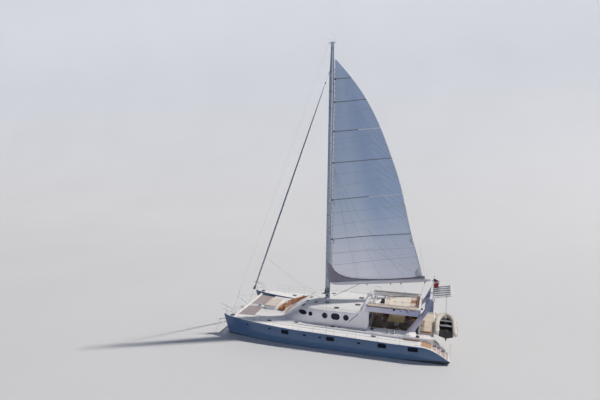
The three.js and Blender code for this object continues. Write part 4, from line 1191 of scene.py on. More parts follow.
# The slanted dark vent on each side, near the saloon's aft end
vent = Shape()
a, b = on_cabin_side(-3.0, 3.38, 0.006), on_cabin_side(-2.05, 2.5, 0.006)
for k in range(12):
    p = a.lerp(b, (k + 0.5) / 12)
    q = on_cabin_side(p.x, p.z, 0.004)
    vent.box(-0.055, 0.055, -0.008, 0.008, -0.03, 0.03, placed(*q, 0.82, "Y"))
both("side_vent", vent, BLACK, bevel=0.003)

# Grab rails along the roof's shoulders
rails = Shape()
for x0, x1 in ((-3.8, -0.9), (-0.4, 1.6)):
    top = [on_roof(x, 3.12, 0.09) for x in evenly(x0, x1, 12)]
    rails.tube(top, 0.014, 8)
    for p in top[::4]:
        rails.tube([p, on_roof(p.x, 3.12, -0.01)], 0.012, 8)
both("roof_rails", rails, STEEL)

# Bridge deck, cockpit and side decks

SOLE_Z = 1.35
BASE_Z = SOLE_Z + 0.015
# the cockpit sole takes teak painted dark, as painted shade under the hardtop
for name, x0, x1, boards in (("cockpit", -9.28, -4.12, SHADED_TEAK), ("saloon", -4.0, 4.55, TEAK)):
    put(f"{name}_sole", Shape().box(x0, x1, -3.19, 3.19, SOLE_Z + 0.001, SOLE_Z + 0.014), boards,
        bevel=0.004)

# A raised kerb along the cabin's foot, the sheet track, a jackline and flush hatches
line = [(CABIN_AFT_X, 3.63)] + [(x, y + 0.03) for x, y in CABIN_FOOT[1:]]
both("cabin_kerb", Shape().tube([(x, y, DECK_Z + 0.012) for x, y in line], 0.022, 8), TRIM)
track = Shape().box(-3.9, 1.9, 4.02, 4.06, DECK_Z + 0.001, DECK_Z + 0.03)
track.box(-1.2, -0.95, 3.99, 4.09, DECK_Z + 0.02, DECK_Z + 0.09)
both("deck_track", track, BLACK, bevel=0.004)
both("jackline", deck_strip(evenly(-9.4, 8.0, 29), 4.93, 4.96, 0.001, 0.008), ROPE_DARK)
DECK_HATCHES = [(-0.34, 4.0, 0.55, 0.4), (3.9, 3.95, 0.5, 0.38), (-4.9, 4.75, 0.5, 0.4),
                (6.9, 4.5, 0.5, 0.45)]
lids, frames = hatches(DECK_HATCHES, 0.08, ((0.9, 0.001), (0.9, 0.034), (0.84, 0.04)),
                       ((1.0, 0.001), (1.0, 0.026), (0.95, 0.032), (0.89, 0.006)),
                       lambda x, y, u, v, k, h: (x + u * k, y + v * k, deck_top(x + u, y) + h))
both("deck_hatch_lids", lids, SMOKED)
both("deck_hatch_frames", frames, STEEL)

# Winches, cleats, line boxes, the gangway plank and coils of rope
gear = Shape()
for x, y in ((-6.95, 4.05), (-6.35, 4.05), (-5.0, 3.98)):
    winch(gear, placed(x, y, deck_top(x, y) - 0.03), 1.25)
both("deck_winches", gear, STEEL)
gear = Shape()
for x, inset in ((-9.3, 0.3), (-2.3, 0.22), (3.0, 0.25), (8.6, 0.42), (10.6, 0.42)):
    cleat(gear, placed(x, HULL_Y + at(STATIONS, x, 1) - inset, deck_at(x), 0.0 if x < 8 else -0.15))
both("deck_cleats", gear, STEEL)
boxes = Shape()
for x, y, size in ((-9.35, 4.12, 0.17), (-4.6, 3.85, 0.16)):
    boxes.stack(rounded(size * 2, size * 1.5, 0.05), ((1, 0.001), (1, 0.13), (0.9, 0.17)),
                (x, y, deck_top(x, y) - 0.02))
both("line_boxes", boxes, BLACK)
plank = Shape().box(-9.6, -7.9, 4.4, 4.56, 1.68, 1.715)
for x in (-9.3, -8.2):
    plank.box(x - 0.03, x + 0.03, 4.42, 4.54, 1.62, 1.69)
both("gangway_plank", plank, TEAK, bevel=0.006)
coils = Shape()
for x, y, r in ((-5.9, 3.47, 0.16), (-7.5, 3.5, 0.15)):
    for k in range(5):
        reach, z = r - 0.004 * k, DECK_Z + 0.265 + 0.016 * k
        coils.tube([(x + reach * math.cos(a) * (1 + 0.05 * math.sin(3 * a + k)),
                     y + 0.6 * reach * math.sin(a), z)
                    for a in angles(20)], 0.009, 6, closed=True)
both("rope_coils", coils, ROPE_WHITE)

# Cockpit coamings with rounded tops, the backrest at its aft end, and the saloon's aft pillars
COAMING = [(3.35, 1.9005), (4.25, 1.9005), (4.25, 1.935), (4.22, 1.956), (3.72, 2.113), (3.6, 2.146),
           (3.5, 2.15),
           (3.43, 2.15), (3.37, 2.13), (3.35, 2.08)]
COAMING_ENDS = ((-9.14, 0.7, 0.4), (-9.12, 0.9, 0.8), (-9.05, 1, 1), (-4.2, 1, 1), (-4.16, 0.95, 0.95))
coaming = Shape().loft([[(x, 3.6 + (y - 3.6) * k, 1.9005 + (z - 1.9005) * h) for y, z in COAMING]
                        for x, k, h in COAMING_ENDS])
both("coaming_moulding", coaming, TRIM, replaces=("coaming",), sharp=50)
BACKREST = [(-9.33, 0.34), (-9.36, 0.39), (-9.4, 0.4), (-9.44, 0.38), (-9.45, 0.33)]
backrest = Shape().loft([[(-9.45, y, 1.9005), (-9.33, y, 1.9005)] +
                         [(x, y, 1.9 + z * h) for x, z in BACKREST]
                         for y, h in ((-2.9, 0.6), (-2.88, 0.9), (-2.8, 1),
                                      (2.8, 1), (2.88, 0.9), (2.9, 0.6))])
put("aft_backrest_moulding", backrest, TRIM, replaces=("aft_backrest",), sharp=50)
PILLAR = [(-4.1, 3.30), (-4.1, 3.56), (-4.14, 3.6), (-4.19, 3.56), (-4.22, 3.44), (-4.2, 3.36),
          (-4.16, 3.31)]
pillar = Shape().loft([[(x, y - 0.12 * t, z) for x, y in PILLAR]
                       for t, z in ((0.0, 2.151), (0.5, 2.8), (1.0, 3.78))])
both("aft_pillar", pillar, GELCOAT, sharp=30)

# The aft bulkhead's panes and trim, and the sliding door's frame with its handle
AFT_WINDOWS = ((0.5, 2.7), (-3.2, -2.75))
panes, trim = Shape(), Shape()
for y0, y1 in AFT_WINDOWS:
    panes.box(-4.085, -4.065, y0 + 0.005, y1 - 0.005, 2.352, 3.148)
put("aft_panes", panes, GLASS, bevel=0.003)
for y0, y1, z0, z1 in [(*row, 2.35, 3.15) for row in AFT_WINDOWS] + [(-1.45, -0.35, 1.41, 3.3)]:
    trim.tube([(-4.105, y, z) for y, z in ((y0, z0), (y1, z0), (y1, z1), (y0, z1))], 0.016, 8, closed=True)
for y in (1.23, 1.97):
    trim.tube([(-4.1, y, 2.352), (-4.1, y, 3.148)], 0.014, 8)
put("aft_window_trim", trim, STEEL)
door = Shape()
for y in (-2.58, -1.42):
    door.box(-4.17, -4.115, y - 0.03, y + 0.03, 1.385, 3.33)
for z in (1.42, 3.30):
    door.box(-4.17, -4.115, -2.59, -1.41, z - 0.035, z + 0.035)
door.tube([(-4.18, -1.52, 2.2), (-4.19, -1.52, 2.25), (-4.19, -1.52, 2.55), (-4.18, -1.52, 2.6)], 0.012, 8)
put("door_frame", door, ALLOY, body="door", bevel=0.004)

# Sofas, their cushions and loose pillows
base = Shape().box(-8.9, -5.2, 2.46, 3.19, SOLE_Z + 0.002, 1.70)
base.box(-8.9, -5.2, 3.08, 3.199, 1.70, 2.14)
# the sofa bases are teak painted dark, as painted shade in the cockpit
both("sofa_base", base, SHADED_TEAK, slot="dark_seat", bevel=0.02, replaces=("sofa",))
for side, s in SIDES:
    for k in range(4):
        x0 = -8.88 + k * 0.92
        for part, inner, outer, z0, z1, seed in (("seat", 2.455, 3.0, 1.70, 1.805, k),
                                                 ("back", 2.97, 3.1, 1.79, 2.15, k + 7)):
            y0, y1 = sorted((s * inner, s * outer))
            cushion(f"sofa_{part}_{side}_{k}", (x0, y0, z0), (x0 + 0.9, y1, z1), DARK_SEAT, seed=seed)
    for k, (x, tone) in enumerate(((-8.5, BROWN_SEAT), (-7.2, PALE_CUSHION), (-5.6, BROWN_SEAT))):
        pad(f"pillow_{side}_{k}", (0.2, 0.06, 0.18), tone, placed(x, s * 2.86, 1.99, s * -0.45, "X"),
            square=4,
            seed=k + 20)

# Cockpit table with a raised edge, and folding chairs round it
top = Shape().stack(rounded(1.8, 2.2, 0.18, 6), ((0.98, 2.06), (1, 2.07), (1, 2.09), (0.985, 2.1)),
                    (-6.8, 0, 0))
put("table_top", top, TABLE, replaces=("cockpit_table",))
leg = Shape().box(-7.0, -6.6, -0.5, 0.5, SOLE_Z + 0.002, SOLE_Z + 0.06)
for y in (-0.38, 0.38):
    leg.tube([(-6.8, y, SOLE_Z + 0.05), (-6.8, y, 2.06)], 0.06, 16)
put("table_legs", leg, ALLOY, bevel=0.01)
CHAIR_BARS = ((-0.2, 0.02), (0.2, 0.02), (0.22, 0.43), (-0.2, 0.43), (-0.28, 0.82))
chairs = Shape()
for k, (x, y, turn) in enumerate(((-7.98, 0.62, 0.0), (-7.98, -0.55, 0.0), (-5.55, 0.6, math.pi))):
    place = placed(x, y, BASE_Z, turn)
    for s in (-0.24, 0.24):
        for leg in (((-0.2, s, 0.0), (0.22, s, 0.43)), ((0.2, s, 0.0), (-0.2, s, 0.43), (-0.28, s, 0.82))):
            chairs.tube([place @ Vector(p) for p in leg], 0.014, 6)
    for a, z in CHAIR_BARS:
        chairs.tube([place @ Vector((a, s, z)) for s in (-0.24, 0.24)], 0.012, 6)
    cushion(f"chair_seat_{k}", (-0.2, -0.23, 0.425), (0.21, 0.23, 0.465), DARK_SEAT, turn=place,
            seed=k + 30)
    cushion(f"chair_back_{k}", (-0.02, -0.23, -0.14), (0.02, 0.23, 0.16), DARK_SEAT,
            turn=place @ placed(-0.245, 0, 0.64, -0.2, "Y"), seed=k + 40)
put("chair_frames", chairs, STEEL)

# Inside the saloon: settee, table and galley block, seen through the doorway
inside = Shape().box(-3.3, 1.5, 1.9, 3.05, BASE_Z, 1.78).box(-3.3, 1.5, 2.75, 3.1, 1.78, 2.2)
inside.box(-3.2, 0.8, -3.1, -2.45, BASE_Z, 2.25).box(2.2, 3.6, -1.6, 1.6, BASE_Z, 2.2)
put("saloon_joinery", inside, TEAK, bevel=0.02)
cushion("settee_seat", (-3.28, 1.92, 1.78), (1.48, 2.75, 1.9), PALE_CUSHION, seed=50)
table = Shape().box(-2.0, 0.2, 0.9, 1.7, 2.02, 2.06).box(-1.2, -0.7, 1.2, 1.4, BASE_Z, 2.02)
put("saloon_table", table, TABLE, bevel=0.012)

# Hardtop: one moulding with a rounded edge, a recess for the sunpad and a wedge at its front

TOP_Z = 3.64
RECESS = [(2.12, 4.272, 4.28), (2.085, 4.23, 4.28), (2.07, 3.96, 4.28), (2.02, 3.905, 4.28),
          (1.0, 3.9, 4.28),
          (0.0, 3.9, 4.28)]
OUTSIDE = [(0.0, 3.64), (2.0, 3.64), (2.86, 3.64), (2.95, 3.655), (3.34, 3.787), (3.385, 3.81), (3.4, 3.85),
           (3.38, 3.885), (3.32, 3.915), (2.75, 4.114), (2.42, 4.23), (2.3, 4.27), (2.2, 4.28)]
# x, share of the half width, depth of the recess, height of the rim over the underside
HARDTOP_ROWS = [
    (-9.5, 0.985, 0, 0.7), (-9.485, 0.995, 0, 0.9), (-9.44, 1, 0, 1), (-9.29, 1, 0, 1), (-9.25, 1, 0.9, 1),
    (-9.2, 1, 1, 1), (-6.5, 1, 1, 1), (-3.98, 1, 1, 1), (-3.93, 1, 0.9, 1), (-3.87, 1, 0, 1),
    (-3.68, 1, 0, 1),
    (-3.5, 1, 0, 0.85), (-3.3, 1, 0, 0.42), (-3.255, 0.99, 0, 0.3), (-3.25, 0.985, 0, 0.22),
]


def hardtop():
    rings = []
    for x, share, depth, rise in HARDTOP_ROWS:
        half = OUTSIDE + [(y, full + (low - full) * depth) for y, low, full in RECESS]
        rings.append(whole([Vector((x, y * share, TOP_Z + (z - TOP_Z) * rise)) for y, z in half], 1, -1))
    return Shape().loft(rings)


put("hardtop_moulding", hardtop(), HARDTOP, sharp=30, replaces=("hardtop",))
SKIRT = [(-4.12, 3.3), (-4.12, 3.81), (-3.65, 3.81), (-3.25, 3.71), (-2.75, 3.52), (-3.2, 3.44)]
skirt = Shape()
for s in (1, -1):
    skirt.loft([[(x, s * (y - 0.12 * (z - 3.3)), z) for x, z in SKIRT] for y in (3.46, 3.28)])
skirt.box(-4.1, -3.26, -3.3, 3.3, 3.5, 3.65)
put("hardtop_skirt", skirt, GELCOAT, bevel=0.02)
ceiling = Shape()
for k in range(9):
    x = -9.2 + k * 0.58
    ceiling.box(x, x + 0.54, -2.85, 2.85, 3.618, 3.641)
put("cockpit_ceiling", ceiling, TRIM, bevel=0.01)
lamps = Shape()
for x in (-8.3, -6.6, -5.0):
    for y in (-2.2, 0, 2.2):
        lamps.lathe([(0.0, 0.0), (0.055, 0.0), (0.06, 0.008), (0.06, 0.02), (0.0, 0.02)], 16,
                    placed(x, y, 3.6))
put("ceiling_lamps", lamps, STEEL)
rails = Shape()
for s in (1, -1):
    for y, z, xs, thick, post, foot in (
            (2.38, 4.39, (-9.2, -8.0, -6.8, -5.6, -4.4, -3.9), 0.015, 0.012, (0, s * -0.02, 0.16)),
            (3.12, 4.07, (-9.1, -7.4, -5.7, -4.0), 0.013, 0.011, (0, 0, 0.1))):
        line = [Vector((x, s * y, z)) for x in xs]
        rails.tube(line, thick, 8)
        for p in line:
            rails.tube([p, p - Vector(foot)], post, 8)
LOOP = [(-4.72, 4.27), (-4.72, 4.68), (-4.66, 4.82), (-4.5, 4.89), (-4.2, 4.89), (-4.05, 4.82),
        (-3.98, 4.68),
        (-3.98, 4.25)]
for y in (-2.2, 2.2):
    rails.tube(through([(x, y, z) for x, z in LOOP], 26), 0.02, 8)
put("hardtop_rails", rails, STEEL)
gear, clutches = Shape(), Shape()
for _, s in SIDES:
    for x in (-8.3, -7.6):
        winch(gear, placed(x, s * 2.86, 4.05))
    for k in range(4):
        y, z = s * (2.78 + 0.06 * k), 4.09 - 0.02 * k
        clutches.box(-6.9, -6.7, y - 0.024, y + 0.024, z, z + 0.08)
put("flybridge_winches", gear, STEEL)
put("rope_clutches", clutches, BLACK, bevel=0.008)

# Bolsters on the rims' outer slopes
for side, s in SIDES:
    for k in range(4):
        cushion(f"rim_bolster_{side}_{k}", (-0.64, -0.27, -0.025), (0.64, 0.27, 0.085), CUSHION,
                turn=placed(-9.14 + (k + 0.5) * 1.31, s * 2.42, 4.27, s * -0.30, "X"), seed=180 + k)

# The sunbathing well: mattresses side by side, headrests and brown seats at the aft end
for i in range(3):
    for j in range(2):
        x0, y0 = -8.35 + i * 0.883, -1.98 + j * 1.98
        cushion(f"sunpad_{i}_{j}", (x0 + 0.01, y0 + 0.01, 3.902), (x0 + 0.875, y0 + 1.97, 4.05),
                PALE_CUSHION,
                seed=60 + i * 2 + j, crown=0.02, replaces=("sunpad",) if i + j == 0 else ())
for j in range(4):
    y0 = -1.98 + j * 0.99
    cushion(f"aft_seat_{j}", (-9.14, y0 + 0.01, 3.902), (-8.37, y0 + 0.98, 4.03),
            BROWN_SEAT if j % 2 else CUSHION,
            slot="dark_seat", seed=70 + j, crown=0.02)
    pad(f"aft_back_{j}", (0.06, 0.47, 0.11), BROWN_SEAT, placed(-9.06, y0 + 0.495, 4.13, -0.25, "Y"),
        slot="dark_seat", seed=80 + j)
for i in range(2):
    pad(f"headrest_{i}", (0.13, 0.6, 0.05), CUSHION, placed(-5.98, -0.9 + i * 1.8, 4.08, 0.3, "Y"),
        square=6,
        seed=90 + i)

# Helm: console with a raked screen, two displays and levers; wheel, and a seat for two
CONSOLE = [(-4.25, 3.901), (-4.25, 4.62), (-4.3, 4.68), (-4.36, 4.68), (-4.545, 4.46), (-4.56, 4.4),
           (-4.52, 3.901)]
console = Shape().loft([[(x, y, z) for x, z in CONSOLE] for y in (0.15, 1.25)])
console.tube([(-4.53, 0.6, 4.48), (-4.66, 0.6, 4.48)], 0.03, 16)
put("helm_console_moulding", console, GELCOAT, bevel=0.025, replaces=("helm_console",))
face = placed(-4.468, 0, 4.575, math.atan2(0.185, 0.22), "Y")
screens = Shape()
for y in (0.32, 0.9):
    screens.loft([[(x, y + u, v) for u, v in rounded(0.34, 0.2, 0.02)] for x in (0.01, -0.012, -0.016)],
                 turn=face)
screens.lathe([(0, 0), (0.045, 0), (0.045, 0.03), (0, 0.03)], 16, placed(-4.4, 0.6, 4.66))
put("helm_displays", screens, SMOKED)
levers = Shape()
for y in (1.1, 1.16):
    levers.tube([(-4.42, y, 4.62), (-4.44, y, 4.72), (-4.46, y, 4.76)], [0.012, 0.01, 0.016], 8)
levers.tube([(-4.3, y, z) for y, z in ((0.25, 4.68), (0.25, 4.86), (0.35, 4.9), (1.05, 4.9), (1.15, 4.86),
                                       (1.15, 4.68))],
            0.014, 8)
put("helm_levers", levers, STEEL)
WHEEL = (-4.7, 0.6, 4.48)


def on_wheel(r, a):
    return WHEEL[0], WHEEL[1] + r * math.sin(a), WHEEL[2] + r * math.cos(a)


wheel = Shape().tube([on_wheel(0.355, a) for a in angles(48)], 0.02, 10, closed=True)
for a in angles(5):
    wheel.tube([on_wheel(r, a) for r in (0.0, 0.2, 0.35)], [0.013, 0.01, 0.009], 8)
wheel.lathe([(0, -0.04), (0.055, -0.04), (0.06, -0.02), (0.06, 0.02), (0.045, 0.04), (0, 0.04)], 20,
            placed(*WHEEL, -math.pi / 2, "Y"))
put("helm_wheel_rim", wheel, STEEL, body="helm", replaces=("helm_wheel",))
base = Shape().box(-5.58, -5.17, 0.08, 1.37, 3.902, 4.17).box(-5.66, -5.6, 0.1, 1.35, 3.902, 4.6)
put("helm_seat_base", base, TRIM, bevel=0.03, replaces=("helm_seat",))
for k, y0 in enumerate((0.06, 0.735)):
    cushion(f"helm_cushion_{k}", (-5.59, y0, 4.17), (-5.15, y0 + 0.655, 4.3), DARK_SEAT, seed=100 + k)
    cushion(f"helm_back_{k}", (-5.61, y0, 4.3), (-5.53, y0 + 0.655, 4.7), DARK_SEAT, seed=110 + k)

# Stern arch: legs with rounded edges, the bridge with a blue-grey panel of painted shadow between its white ends, and
# the frame

# share of the way up, then x, y, z and the section's half length and half width
LEG = [(0, -8.55, 3.475, 2.1503, 0.40, 0.12), (0.55, -10.0, 2.4, 4.0, 0.255, 0.105),
       (1, -10.6, 2.28, 5.4, 0.175, 0.08)]
rings = []
for t in evenly(0, 1, 12):
    x, y, z, half_x, half_y = (at(LEG, t, k) for k in range(1, 6))
    flare = 1 + 0.12 * max(0, 1 - t * 9)
    rings.append([(x + a * flare, y + b, z) for a, b in soft_square(half_x, half_y)])
both("arch_leg_moulding", Shape().loft(rings), ARCH, sharp=50, replaces=("arch_leg",))
bridge = Shape().loft([[(-10.35 + a * (0.9 + 0.1 * k), y, 3.955 + b * k)
                        for a, b in soft_square(0.45, 0.055, 8)]
                       for y, k in ((-2.5, 0.6), (-2.46, 0.95), (-2.35, 1), (2.35, 1), (2.46, 0.95),
                                    (2.5, 0.6))])
put("arch_bridge_moulding", bridge, TRIM, replaces=("arch_bridge",))
# painted shadow: a blue-grey sheet over the middle of the bridge's top
put("arch_bridge_painted_shadow", Shape().box(-10.79, -9.91, -2.26, 2.26, 4.008, 4.022), PAINTED_SHADOW_PANEL, bevel=0.006)
seams, kick = Shape(), Shape()
for y in (-1.4, -0.7, 0, 0.7, 1.4):
    seams.box(-10.7, -10.0, y - 0.012, y + 0.012, 4.02, 4.027)
put("arch_bridge_seams", seams, ALLOY)
for s in (1, -1):
    kick.box(-10.79, -9.91, s * 2.38 - 0.11, s * 2.38 + 0.11, 4.0, 4.06)
put("arch_bridge_ends", kick, TRIM, bevel=0.02)

FALL_AT = 0.75
CORNERS = ((0, -1), (0, 1), (1, 1), (1, -1))


def frame_at(t, y, lift=0.0):
    """A point on the frame over the tender: t is the share of the way aft."""
    return Vector((-10.6 - 2.0 * t, y, 5.4603 + 0.3897 * t + lift))


def plate(shape, t0, t1, y, half, low, high):
    """A flat bar on the frame."""
    sides = [[0, 1, 2, 3], [7, 6, 5, 4], [0, 4, 5, 1], [1, 5, 6, 2], [2, 6, 7, 3], [3, 7, 4, 0]]
    shape.add([frame_at((t0, t1)[e], y + s * half, lift) for lift in (low, high) for e, s in CORNERS],
              sides)


rack = Shape()
for t, reach in ((0, 2.3), (1, 1.91)):
    ends = [(-reach, 0.5), (-reach + 0.03, 0.95), (-reach + 0.1, 1), (reach - 0.1, 1), (reach - 0.03, 0.95),
            (reach, 0.5)]
    rack.tube([frame_at(t, y) for y, _ in ends], [0.06 * k for _, k in ends], 20)
wing = Shape().loft([[(-10.6 + a * k, y, 5.4603 + b * k) for a, b in soft_square(0.17, 0.059, 2.6, 28)]
                     for y, k in
                     ((-2.38, 0.6), (-2.36, 0.9), (-2.28, 1.0), (2.28, 1.0), (2.36, 0.9), (2.38, 0.6))])
put("rack_front", wing, TRIM, slot="alloy")
put("rack_ends", rack, TRIM, slot="alloy", replaces=("tender_frame",))
rack = Shape()
for y in (-1.85, 1.85):
    rack.tube([frame_at(t, y) for t in evenly(0, 1, 8)], 0.045, 16)
rack.tube([frame_at(FALL_AT, -1.85), frame_at(FALL_AT, 1.85)], 0.035, 16)
put("rack_rails", rack, ALLOY)
slats, edges = Shape(), Shape()
for k in range(5):
    y = -1.85 + (k + 0.5) * 0.74
    plate(slats, 0.055, 0.945, y, 0.215, 0.08, 0.108)
    edges.tube([frame_at((0.05, 0.95)[e], y + s * 0.222, 0.09) for e, s in CORNERS], 0.013, 6, closed=True)
for t in (0.11, 0.845):
    plate(edges, t - 0.028, t + 0.028, 0, 1.84, 0.05, 0.075)
put("solar_slats", slats, PANEL, replaces=("solar_panels",))
put("solar_edges", edges, ALLOY)

# On the arch: a horseshoe buoy, lamps, an aerial and the ensign on its staff
place = placed(-10.86, 2.56, 5.55, math.radians(20))
line = [place @ Vector((0.02, 0.26 * math.sin(a), -0.3 * math.cos(a) + 0.02))
        for a in (math.radians(t) for t in evenly(30, 330, 28))]
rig.padded(put("horseshoe_buoy", Shape().tube(line, [0.05] + [0.075] * 27 + [0.05], 12), TRIM), 0.9)
gear = Shape()
for y, reach in ((2.15, 0.55), (-2.15, 0.7)):
    gear.tube([(-10.6, y, 5.5), (-10.6, y, 5.5 + reach)], 0.012, 8)
gear.tube([(-10.86, 2.56, 5.75), (-10.7, 2.4, 5.5)], 0.012, 8)
gear.tube([(-10.6, -2.02, 5.35), (-10.74, -2.02, 6.7)], 0.018, 8)
put("arch_posts", gear, STEEL)
gear = Shape()
for x, y, z, profile in (
        (-10.6, 2.15, 6.05, [(0, 0), (0.045, 0), (0.05, 0.03), (0.05, 0.11), (0.03, 0.14), (0, 0.14)]),
        (-10.6, -2.15, 6.2, [(0, 0), (0.06, 0), (0.09, 0.03), (0.07, 0.07), (0, 0.09)]),
        (-10.74, -2.02, 6.68, [(0, 0), (0.04, 0.01), (0.05, 0.05), (0.03, 0.09), (0, 0.1)])):
    gear.lathe(profile, 16, placed(x, y, z))
put("arch_lamps", gear, BLACK)

STAFF_X = -10.74


def ensign_point(u, v):
    """It hangs limp from its staff in deep folds."""
    spread = 0.62 * (1 - 0.3 * v) * u
    fold = 0.07 * math.sin(u * 17 + v * 2.2) * min(1, 4 * u)
    return Vector((STAFF_X + 0.02 - spread, -2.02 + fold, 6.5 - 1.0 * v - 0.28 * u * (1 - 0.4 * v)))


flag = cloth("ensign", cloth_grid(ensign_point, 24, 32), FLAG, 0.003)
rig.sheet(flag, flat=(1.0, 1.0), held="hung", rests_on=["arch_posts"], area=0.98)

# Tender: tubes with seams and a strake, a deep dark hull, thwarts, outboard and its bridle

TENDER_X = -12.1
TUBE_R = 0.264
TENDER_ROWS = [(3.5, 1, 2.27), (1.9, 1, 2.30), (0.4, 0.98, 2.35), (-0.3, 0.86, 2.42), (-0.85, 0.6, 2.51)]
side = [Vector((TENDER_X + 0.89 * out, y, z)) for y, out, z in TENDER_ROWS]
route = side + [Vector((TENDER_X, -1.29, 2.61))] + [Vector((2 * TENDER_X - p.x, p.y, p.z))
                                                    for p in reversed(side)]
tube_line = through(route, 97)
radii = []
for k in range(97):
    end = min(k, 96 - k)
    cone = {0: 0.3, 1: 0.55, 2: 0.8, 3: 0.93}.get(end, 1.0)
    radii.append(TUBE_R * cone * (0.985 if end > 6 and end % 12 == 0 else 1.0))
put("tender_tubes", Shape().tube(tube_line, radii, 28), RUBBER, replaces=("tender_tube",), sharp=60)


def tube_way(k):
    return (tube_line[k + 1] - tube_line[k - 1]).normalized()


bands = Shape()
for k in range(12, 90, 12):
    way = tube_way(k)
    a = way.orthogonal().normalized()
    b = way.cross(a)
    bands.loft([[tube_line[k] + way * s + (TUBE_R + 0.0015) * (math.cos(t) * a + math.sin(t) * b)
                 for t in angles(28)] for s in (-0.03, 0.03)], caps=False)
put("tender_bands", bands, PALE_CUSHION, slot="tender_fabric", thick=0.003)
middle = Vector((TENDER_X, 1.0, 2.3))
outward = []
for k in range(4, 93):
    out = tube_way(k).cross(Vector((0, 0, 1))).normalized()
    outward.append((tube_line[k], -out if out.dot(tube_line[k] - middle) < 0 else out))
put("tender_strake", Shape().tube([p + out * TUBE_R for p, out in outward], 0.024, 8), DARK_RUBBER)
grab = Shape()
for n in range(6, len(outward) - 8, 14):
    grab.tube([p + out * (0.17 + 0.01 * m * (6 - m)) + Vector((0, 0, 0.2))
               for m, (p, out) in enumerate(outward[n:n + 7])], 0.008, 6)
put("tender_grab_lines", grab, ROPE_DARK)
# y, half width, floor height, keel height
TENDER_STATIONS = [(3.3, 0.72, 2.13, 1.77), (2.0, 0.72, 2.148, 1.778), (0.8, 0.72, 2.17, 1.79),
                   (0.2, 0.67, 2.21, 1.85), (-0.3, 0.6, 2.26, 1.93), (-0.7, 0.42, 2.335, 2.10),
                   (-0.95, 0.3, 2.39, 2.21)]
rings = []
for y, half, floor, keel in TENDER_STATIONS:
    port = [(half * 0.8, floor), (half, floor + 0.02), (half, floor - 0.02),
            (half * 0.97, (floor + keel) / 2),
            (half * 0.6, keel + (floor - keel) * 0.3), (0, keel)]
    rings.append([(TENDER_X + x, y, z) for x, z in port + [(-x, z) for x, z in reversed(port[:-1])]])
put("tender_shell", Shape().loft(rings), BLACK, sharp=40, replaces=("tender_hull",))
seats = Shape()
for half, y0, y1, z0, z1 in ((0.66, 1.46, 1.74, 2.14, 2.425), (0.64, 0.16, 0.37, 2.17, 2.445),
                             (0.7, 3.235, 3.295, 2.11, 2.49)):
    seats.box(TENDER_X - half, TENDER_X + half, y0, y1, z0, z1)
put("tender_thwarts", seats, BLACK, bevel=0.025)
for name, y0, y1, z in (("aft", 1.46, 1.74, 2.425), ("fore", 0.16, 0.37, 2.445)):
    cushion(f"thwart_cushion_{name}", (TENDER_X - 0.6, y0, z), (TENDER_X + 0.6, y1, z + 0.045),
            GREY_CUSHION, seed=120)
# Outboard: the cowl's rows give shift, height and size; the leg's give height and half widths
COWL = [(0.0, 2.38, 0.5), (0.0, 2.42, 0.82), (0.01, 2.5, 0.96), (0.02, 2.62, 1.0), (0.03, 2.72, 0.9),
        (0.05, 2.77, 0.6), (0.05, 2.78, 0.3)]
MOTOR_LEG = [(2.4, 0.1, 0.07), (2.1, 0.085, 0.05), (1.8, 0.08, 0.035), (1.72, 0.12, 0.03),
             (1.66, 0.09, 0.02),
             (1.55, 0.05, 0.01)]
motor = Shape()
motor.loft([[(TENDER_X + a * k, 3.49 + shift + b * k, z + 0.02) for a, b in soft_square(0.168, 0.175, 4)]
            for shift, z, k in COWL])
motor.loft([[(TENDER_X + a, 3.47 + b, z + 0.02) for a, b in soft_square(half_a, half_b, 3)]
            for z, half_b, half_a in MOTOR_LEG])
motor.box(TENDER_X - 0.09, TENDER_X + 0.09, 3.32, 3.66, 1.81, 1.82)
motor.tube([(TENDER_X, y, 1.7) for y in (3.37, 3.42, 3.6, 3.66)], [0.02, 0.045, 0.04, 0.015], 14)
motor.box(TENDER_X - 0.12, TENDER_X + 0.12, 3.27, 3.38, 2.32, 2.52)
put("outboard_motor", motor, BLACK, sharp=40, replaces=("tender_outboard",))
lines, blocks = Shape(), Shape()
for y, z in ((1.6, 2.475), (0.265, 2.495)):
    head = frame_at(FALL_AT, y, -0.04)
    lines.tube([(TENDER_X, y, z + 0.14), head], 0.008, 8)
    lines.tube([(TENDER_X + 0.03, y, z + 0.14), head + Vector((0.06, 0, 0))], 0.006, 8)
    for s in (-1, 1):
        lines.tube([(TENDER_X + s * 0.6, y, z - 0.03), (TENDER_X, y, z + 0.16)], 0.012, 8)
    for foot in ((TENDER_X, y, z + 0.135), frame_at(FALL_AT, y, -0.2)):
        blocks.stack(soft_square(0.05, 0.025, 4, 16), ((0.6, 0), (1, 0.03), (1, 0.12), (0.5, 0.16)), foot)
put("tender_falls", lines, ROPE_WHITE, slot="alloy", replaces=("fall_aft", "fall_bow"))
put("fall_blocks", blocks, BLACK)

# Aft pad: four mattresses across the stern, with bolsters
for j in range(4):
    y0 = -3.2 + j * 1.6
    cushion(f"aft_mattress_{j}", (-10.84, y0 + 0.01, 1.902), (-9.62, y0 + 1.59, 2.05), CUSHION,
            seed=130 + j,
            crown=0.03, replaces=("aft_pad",) if j == 0 else ())
for side, s in reversed(SIDES):
    pad(f"aft_bolster_{side}", (0.55, 0.14, 0.07), BROWN_SEAT, placed(-10.2, s * 3.0, 2.1, s * 0.15, "X"),
        square=4,
        seed=140 + s)

